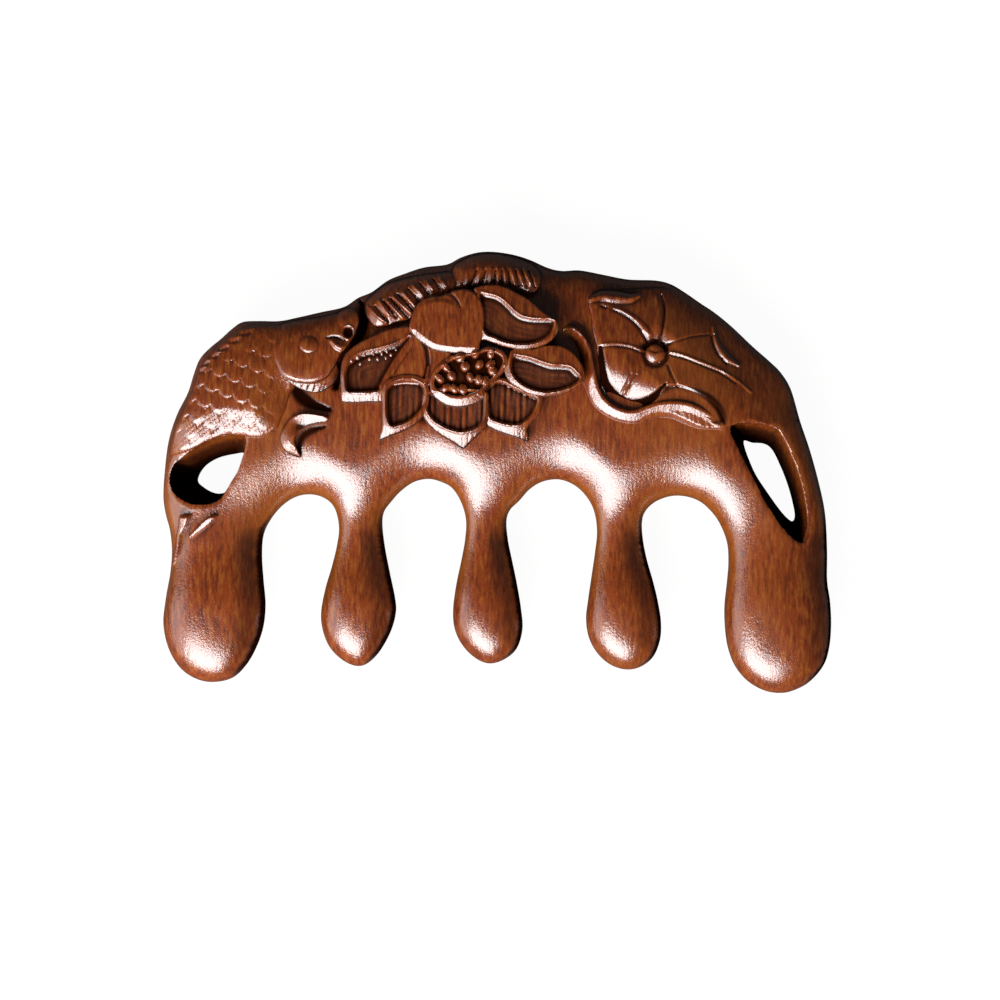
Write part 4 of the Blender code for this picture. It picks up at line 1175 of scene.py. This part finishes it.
def bud_rise(grid, depth):
    """Closed petals as one plump form, with the outer petal's lobe and the fold beside it."""
    low, _ = facing(grid, BUD)
    rise = BUD_LEVEL - bevel(depth, width=2 + 4.5 * low, slope=0.45)
    rise += BUD_SWELL * np.sqrt(np.clip(depth / 26, 0, 1))
    rise += 2.0 * patch(grid, BUD_LOBE, 6) * ease(depth, 0, 6) * (1 - ease(grid[:, 1], 300, 320))
    return rise + ridges(grid, BUD_FOLD)


def pod_rise(grid, depth):
    """A pod with a rim round its sunk face, in which the seeds stand."""
    low, _ = facing(grid, POD)
    face = patch(grid, POD_FACE, 2.6)
    rise = POD_LEVEL - bevel(depth, width=1.8 + 6.5 * low, slope=0.43) - POD_FACE_DEPTH * face
    for k, place in enumerate(SEEDS):
        rise += SEED_HEIGHT * dome(grid, place, (4.0 + 0.5 * (k % 3), 5.6), -40 + 23 * (k % 5))
    # Painted shade on the sunk face round the seeds
    return rise, 0.4 * face


def slope_down(value, end):
    """0 before 0, 1 after the end, nearly straight between."""
    t = np.clip(value / end, 0, 1)
    return 0.7 * t + 0.3 * t * t * (3 - 2 * t)


def facing(grid, outline):
    """How much the nearest part of an outline faces down the drawing, and how much up."""
    line = smooth_line(outline, FINEST_SPACING, closed=True)
    way = outward(line)[nearest(grid, line)][:, 1]
    return ease(way, 0.2, 0.8), ease(-way, 0.2, 0.75)


def petal_rise(name):
    """The shape of a cupped petal: a lip that slopes outwards round a fluted or streaked hollow."""
    level, hollow, slope_width, flutes, upper = PETAL_SHAPES[name]
    bowl = PETAL_HOLLOWS[name]
    middle, far = np.mean(bowl, 0)[0], np.max(bowl, 0)[0]

    def rise(grid, depth):
        x = grid[:, 0]
        inside = edge_depth(grid, smooth_line(bowl, FINEST_SPACING, closed=True))
        low, high = facing(grid, bowl)
        wall = slope_down(inside, BOWL_SLOPE_WIDTH + (slope_width - BOWL_SLOPE_WIDTH) * high)
        flute = wave(grid, 1.19, 0.06, QUARTER_TURN) + wave(grid, 0.83, -0.04, 2 + QUARTER_TURN)
        ragged = wave(grid, 1.7, 0) * wave(grid, 0.61, 0, 1)
        reach = line_distance(grid, bowl[:upper])
        streak = np.sin(reach * 1.15 + 0.8 * wave(grid, 0.11, 0)) + 0.6 * np.sin(reach * 2.1 + 0.05 * x)
        height = level - (0.42 - 0.30 * high) * np.maximum(-inside - 0.5, 0)
        height -= hollow * wall + 0.05 * np.maximum(inside, 0)
        height += FLUTE_HEIGHT * flutes * flute * wall + RIM_BEAD * np.exp(-((inside / 1.3) ** 2))
        height -= 0.4 * np.maximum(ragged, 0) * low * ease(-inside, 3.5, 6.5)
        # Painted shade in the hollow, lighter towards its right side
        mark = BOWL_PAINTED_SHADE * ease(inside, 0, 3 + 3 * high) * (1 - 0.45 * ease(x, middle, far))
        mark -= 0.17 * flutes * flute * wall
        mark += 0.13 * (1 - flutes) * streak * (0.6 + 0.4 * wave(grid, 0.16, 0)) * wall
        if name == "petal_upper_left":
            for place in SPECKS:
                height += SPECK_HEIGHT * dome(grid, place, (1.4, 1.9))
        return height, mark

    return rise


def inner_petal_rise(grid, depth):
    """The narrow petal between the left ones and the bud, with one fold."""
    return INNER_PETAL_LEVEL - bevel(depth, width=2, slope=0.42) + ridges(grid, INNER_PETAL_FOLDS)


def roll_left_rise(grid, depth):
    """A rolled leaf whose ribs wrap over its lower side, with a groove between each two."""
    rise = ROLL_LEFT_LEVEL + ROLL_LEFT_SWELL * swell(depth, width=19, power=1.9)
    for start, end in LEFT_RIBS:
        rise += ridge(grid, [(*start, 2.5), (*end, 3)], 2.0)
    for (a, b), (c, d) in zip(LEFT_RIBS, LEFT_RIBS[1:]):
        start, end = np.add(a, c) / 2, np.add(b, d) / 2
        rise += ridge(grid, [(*start, 1.8), (*end, 3)], -2.4)
    return rise + ridges(grid, ROLL_LEFT_END)


def roll_right_rise(grid, depth):
    """A rolled leaf with a row of ribs that fan out a little, each with a groove on its right."""
    rise = ROLL_RIGHT_LEVEL + ROLL_RIGHT_SWELL * swell(depth, width=19, power=1.9)
    for x in RIGHT_RIBS:
        lean = (x - 498) * 0.12
        rise += ridge(grid, [(x - lean, 272, 1.5), (x, 279, 2.8), (x + lean, 288, 2.2)], 1.8)
        rise += ridge(grid, [(x + 4 - lean, 273, 1.2), (x + 4, 281, 2.0), (x + 4 + lean, 290, 2)], -2.0)
    return rise


def leaf_rise(grid, depth):
    """An open leaf: a sheet that laps down to the groove beside the stem, with its hub, veins and lobe."""
    x, y = grid.T
    lap = LEAF_LEVEL - 0.45 * (y - 379) + 0.16 * (x - 632) + 3 * np.maximum(x - 663, 0)
    lap = np.clip(lap, 0, LAP_HEIGHT)
    rise = -2 * np.log(np.exp(-lap / 2) + math.exp(-LEAF_LEVEL / 2)) - bevel(depth, width=4, slope=0.30)
    rise = np.minimum(rise, LEAF_FALL * line_distance(grid, LEAF_RIM) - 0.9)
    lobe = patch(grid, LEAF_LOBE, 3)
    rise = rise * (1 - lobe) + LOBE_LEVEL * lobe
    away = np.linalg.norm(grid - HUB, axis=1)
    above = ease((HUB[1] - y) / np.maximum(away, 1), 0.1, 0.7)
    rise -= HUB_DIP * (1 - ease(away, 8, 27)) * above + HUB_LOWER_DIP * (1 - ease(away, 8, 40)) * (1 - above)
    rise += HUB_HEIGHT * dome(grid, HUB, (HUB_RADIUS, HUB_RADIUS))
    rise += (2.5 * above - 0.25 * (y - HUB[1])) * (away < HUB_RADIUS)
    ring = ridge(grid, [(*place, 3.8) for place in HUB_RING], 1)
    deep, shadow = ridge(grid, LEAF_GROOVE, 1), ridge(grid, LEAF_SICKLE_SHADOW, 1)
    rise += ridges(grid, LEAF_FOLDS) - 1.2 * ring - 1.6 * deep
    # Painted shade in the groove beside the stem and round the hub, and a painted shadow under the leaf's
    # edge
    return rise, 2.2 * deep + 1.6 * shadow + 0.2 * ring


def band(points, upper):
    """Outline of a strip that lies mostly to the lower side of a line, as wide as each point says."""
    line = smooth_line(points, spacing=3, closed=False)
    run = np.gradient(line[:, :2], axis=0)
    side = np.stack([-run[:, 1], run[:, 0]], 1) / np.linalg.norm(run, axis=1)[:, None]
    return np.concatenate([line[:, :2] + side * line[:, 2:], (line[:, :2] - side * upper)[::-1]])


def stem_rise(grid, depth):
    """Highest along its upper edge, falling to the back's surface below, finely combed at its right."""
    x, y = grid.T
    distance, width = line_reach(grid, smooth_line(STEM, FINE_SPACING, closed=False))
    lower = ease(y, 366, 400)
    right = ease(x, 636, 660)
    fall = np.maximum(distance - 1, 0)
    turn = 11 - 5 * right
    steep = STEM_LOWER_LEVEL - 0.50 * np.minimum(fall, turn) - 0.22 * np.maximum(fall - turn, 0)
    steep += 3.5 * ease(x, 626, 668) - 5 * ease(x, 684, 722)
    streak = np.sin(x * 1.1 + 2 * wave(grid, 0.31, 0)) * ease(fall, 5, 9) * right
    rise = (STEM_LEVEL - 0.26 * fall - 0.02 * fall**2) * (1 - lower) + (steep + 0.22 * streak) * lower
    rise = np.minimum(rise, 0.9 + 1.0 * np.maximum(width - distance, 0))
    return rise - 3 * (1 - ease(np.linalg.norm(grid - STEM_TIP, axis=1), 3, 9))


# What the first operator leaves for the others
WORK = {}


def carver():
    """The carver that stands on the finished body."""
    if "carver" not in WORK:
        raise RuntimeError("The body has to be made before its carving")
    return WORK["carver"]


def noise(tree, place, scale, detail):
    """A noise texture on coordinates stretched by the scale along each axis."""
    turn = tree.nodes.new("ShaderNodeMapping")
    turn.inputs["Scale"].default_value = scale
    tree.links.new(place, turn.inputs["Vector"])
    grain = tree.nodes.new("ShaderNodeTexNoise")
    grain.inputs["Scale"].default_value = 1
    grain.inputs["Detail"].default_value = detail
    grain.inputs["Roughness"].default_value = GRAIN_ROUGHNESS
    tree.links.new(turn.outputs["Vector"], grain.inputs["Vector"])
    return grain.outputs["Fac"]


def remap(tree, value, low, high, to_low=0.0, to_high=1.0):
    """A value turned smoothly from one range into another."""
    ramp = tree.nodes.new("ShaderNodeMapRange")
    ramp.interpolation_type = "SMOOTHSTEP"
    for name, number in (("From Min", low), ("From Max", high), ("To Min", to_low), ("To Max", to_high)):
        ramp.inputs[name].default_value = number
    tree.links.new(value, ramp.inputs["Value"])
    return ramp.outputs["Result"]


def attribute(tree, name):
    """A value that the mesh carries at each vertex."""
    node = tree.nodes.new("ShaderNodeAttribute")
    node.attribute_name = name
    return node.outputs["Fac"]


def blend(tree, share, first, second):
    """The first colour turning into the second as the share goes from 0 to 1."""
    mix = tree.nodes.new("ShaderNodeMix")
    mix.data_type = "RGBA"
    tree.links.new(share, mix.inputs[0])
    for socket, colour in ((mix.inputs[6], first), (mix.inputs[7], second)):
        if isinstance(colour, bpy.types.NodeSocket):
            tree.links.new(colour, socket)
        else:
            socket.default_value = (*colour, 1)
    return mix.outputs[2]


def wood_material():
    """Fine-grained reddish wood under satin lacquer, with a painted amber glow on the edges between the
    teeth, and dark staining and painted shade in its hollows.
    """
    material = bpy.data.materials.new("lacquered_wood")
    material.use_nodes = True
    tree = material.node_tree
    shader = tree.nodes["Principled BSDF"]
    look = finish()
    place = tree.nodes.new("ShaderNodeTexCoord").outputs["Object"]
    fine = noise(tree, place, FINE_GRAIN, detail=4)
    middle = noise(tree, place, MIDDLE_GRAIN, detail=3)
    broad = noise(tree, place, BROAD_GRAIN, detail=2)
    painted_glow, mark = attribute(tree, "painted_glow"), attribute(tree, "stain_and_shade")
    colour = blend(tree, remap(tree, middle, 0.38, 0.68), [c * 0.82 for c in look.wood], look.wood)
    for value, low, high, share, tint in (
        (fine, 0.50, 0.64, 0.85, look.amber),
        (fine, 0.48, 0.36, 0.5, look.dark),
        (broad, 0.45, 0.75, 0.35, look.amber),
        # The painted glow along the edges between the teeth
        (painted_glow, 0, 1, 0.6, look.amber),
        # Staining and painted shade, darkest in the deepest hollows
        (mark, -0.1, 1.0, 0.93, look.dark),
        (mark, 1.0, 1.6, 0.85, [c / 4 for c in look.dark]),
    ):
        colour = blend(tree, remap(tree, value, low, high, 0, share), colour, tint)
    tree.links.new(colour, shader.inputs["Base Color"])
    shader.inputs["Roughness"].default_value = look.roughness
    for name, value in LACQUER.items():
        shader.inputs[name].default_value = value
    # The shine fades where staining and painted shade are deep
    for name in ("Coat Weight", "Specular IOR Level"):
        shine = remap(tree, mark, *DULL_SHADE_AND_STAIN, LACQUER[name], 0.0)
        tree.links.new(shine, shader.inputs[name])
    total = tree.nodes.new("ShaderNodeMath")
    tree.links.new(fine, total.inputs[0])
    tree.links.new(noise(tree, place, PORES, detail=2), total.inputs[1])
    bump = tree.nodes.new("ShaderNodeBump")
    bump.inputs["Strength"].default_value = PORE_STRENGTH
    bump.inputs["Distance"].default_value = PORE_DEPTH
    tree.links.new(total.outputs[0], bump.inputs["Height"])
    for name in ("Normal", "Coat Normal"):
        tree.links.new(bump.outputs["Normal"], shader.inputs[name])
    return material


class COMB_OT_body(bpy.types.Operator):
    """Make the back and its teeth in one flowing surface"""

    bl_idname = "comb.body"
    bl_label = "Back and teeth"

    def execute(self, context):
        material = wood_material()
        WORK["carver"] = Carver(make_body(material), material)
        return {"FINISHED"}


class COMB_OT_fish(bpy.types.Operator):
    """Carve the carp: scaled body, head, frill, fin and tail"""

    bl_idname = "comb.fish"
    bl_label = "Carp"

    def execute(self, context):
        work = carver()
        work.carve("fish_body", FISH_BODY, fish_body_rise, shade=0.45)
        work.carve("fish_head", FISH_HEAD, fish_head_rise)
        work.carve("gill_frill", FRILL, frill_rise, nodes=[])
        work.carve("fish_fin", FISH_FIN, fish_fin_rise)
        work.carve("fish_tail", FISH_TAIL, fish_tail_rise)
        return {"FINISHED"}


class COMB_OT_flower(bpy.types.Operator):
    """Carve the lotus flower: petals, bud and seed pod"""

    bl_idname = "comb.flower"
    bl_label = "Lotus flower"

    def execute(self, context):
        work = carver()
        for name, outline in PETALS.items():
            rise = petal_rise(name) if name in PETAL_HOLLOWS else inner_petal_rise
            work.carve(name, outline, rise, pitch=0.9)
        work.carve("lotus_bud", BUD, bud_rise, pitch=0.9)
        work.carve("seed_pod", POD, pod_rise, pitch=0.8)
        return {"FINISHED"}


class COMB_OT_leaves(bpy.types.Operator):
    """Carve the two rolled leaves, the open lotus leaf and its stem"""

    bl_idname = "comb.leaves"
    bl_label = "Leaves"

    def execute(self, context):
        work = carver()
        work.carve("rolled_leaf_left", ROLL_LEFT, roll_left_rise)
        work.carve("rolled_leaf_right", ROLL_RIGHT, roll_right_rise)
        work.carve("lotus_leaf", LEAF, leaf_rise)
        work.carve("leaf_stem", band(STEM, STEM_UPPER_WIDTH), stem_rise, shade=0.3)
        return {"FINISHED"}


def paper_material():
    """A matt floor that looks white to the camera and keeps the comb's shadow."""
    paper = bpy.data.materials.new("paper")
    paper.use_nodes = True
    tree = paper.node_tree
    shader = tree.nodes["Principled BSDF"]
    shader.inputs["Base Color"].default_value = PAPER
    shader.inputs["Roughness"].default_value = 1
    shader.inputs["Specular IOR Level"].default_value = 0
    shader.inputs["Emission Color"].default_value = (1, 1, 1, 1)
    rays = tree.nodes.new("ShaderNodeLightPath")
    seen = tree.nodes.new("ShaderNodeMath")
    seen.operation = "MULTIPLY"
    seen.inputs[1].default_value = PAPER_GLOW
    tree.links.new(rays.outputs["Is Camera Ray"], seen.inputs[0])
    tree.links.new(seen.outputs[0], shader.inputs["Emission Strength"])
    return paper


def lay_floor(scene):
    """Lay the pale floor just under the comb."""
    bm = bmesh.new()
    bmesh.ops.create_grid(bm, x_segments=1, y_segments=1, size=FLOOR_REACH)
    mesh = bpy.data.meshes.new("floor")
    bm.to_mesh(mesh)
    bm.free()
    mesh.materials.append(paper_material())
    floor = bpy.data.objects.new("floor", mesh)
    floor.location.z = -FLOOR_DROP
    scene.collection.objects.link(floor)


def light_studio(scene):
    """Set a faint even sky and the soft lamps."""
    world = bpy.data.worlds.new("studio")
    world.use_nodes = True
    sky = world.node_tree.nodes["Background"]
    sky.inputs["Color"].default_value = (1, 1, 1, 1)
    sky.inputs["Strength"].default_value = WORLD_STRENGTH
    scene.world = world
    for name, place, target, size, power in LAMPS:
        lamp = bpy.data.lights.new(name, "AREA")
        lamp.shape = "RECTANGLE"
        lamp.size, lamp.size_y = size
        lamp.energy = power
        lamp.color = LAMP_COLOUR
        light = bpy.data.objects.new(name, lamp)
        light.location = place
        light.rotation_euler = (Vector(target) - Vector(place)).to_track_quat("-Z", "Y").to_euler()
        scene.collection.objects.link(light)


def stand_camera(scene):
    """Look straight down on the carved face, with the drawing grid filling the picture."""
    camera = bpy.data.objects.new("camera", bpy.data.cameras.new("camera"))
    camera.data.lens = LENS
    camera.data.clip_start = 0.01
    distance = PICTURE_WIDTH * grid_unit() * LENS / camera.data.sensor_width
    x, y = at([(PICTURE_MIDDLE, PICTURE_MIDDLE)])[0]
    camera.location = (x, y, sizes().middle + distance)
    scene.collection.objects.link(camera)
    scene.camera = camera


class COMB_OT_stage(bpy.types.Operator):
    """Set the floor, the lights and the camera"""

    bl_idname = "comb.stage"
    bl_label = "Stage"

    def execute(self, context):
        lay_floor(context.scene)
        light_studio(context.scene)
        stand_camera(context.scene)
        context.scene.view_settings.view_transform = "Standard"
        return {"FINISHED"}


class COMB_PT_panel(bpy.types.Panel):
    """The comb's sizes, finish and pieces"""

    bl_label = "Comb"
    bl_idname = "COMB_PT_panel"
    bl_space_type = "VIEW_3D"
    bl_region_type = "UI"
    bl_category = "Comb"

    def draw(self, context):
        for group in (context.scene.comb_sizes, context.scene.comb_finish):
            for name in group.__annotations__:
                self.layout.prop(group, name)
        for operator in OPERATORS:
            self.layout.operator(operator.bl_idname)


OPERATORS = (COMB_OT_body, COMB_OT_fish, COMB_OT_flower, COMB_OT_leaves, COMB_OT_stage)
CLASSES = (CombSizes, CombFinish, *OPERATORS, COMB_PT_panel)


def register():
    for kind in CLASSES:
        bpy.utils.register_class(kind)
    bpy.types.Scene.comb_sizes = PointerProperty(type=CombSizes)
    bpy.types.Scene.comb_finish = PointerProperty(type=CombFinish)


def unregister():
    del bpy.types.Scene.comb_finish
    del bpy.types.Scene.comb_sizes
    for kind in reversed(CLASSES):
        bpy.utils.unregister_class(kind)


def main():
    register()
    bpy.ops.comb.body()
    bpy.ops.comb.fish()
    bpy.ops.comb.flower()
    bpy.ops.comb.leaves()
    bpy.ops.comb.stage()


if __name__ == "__main__":
    main()
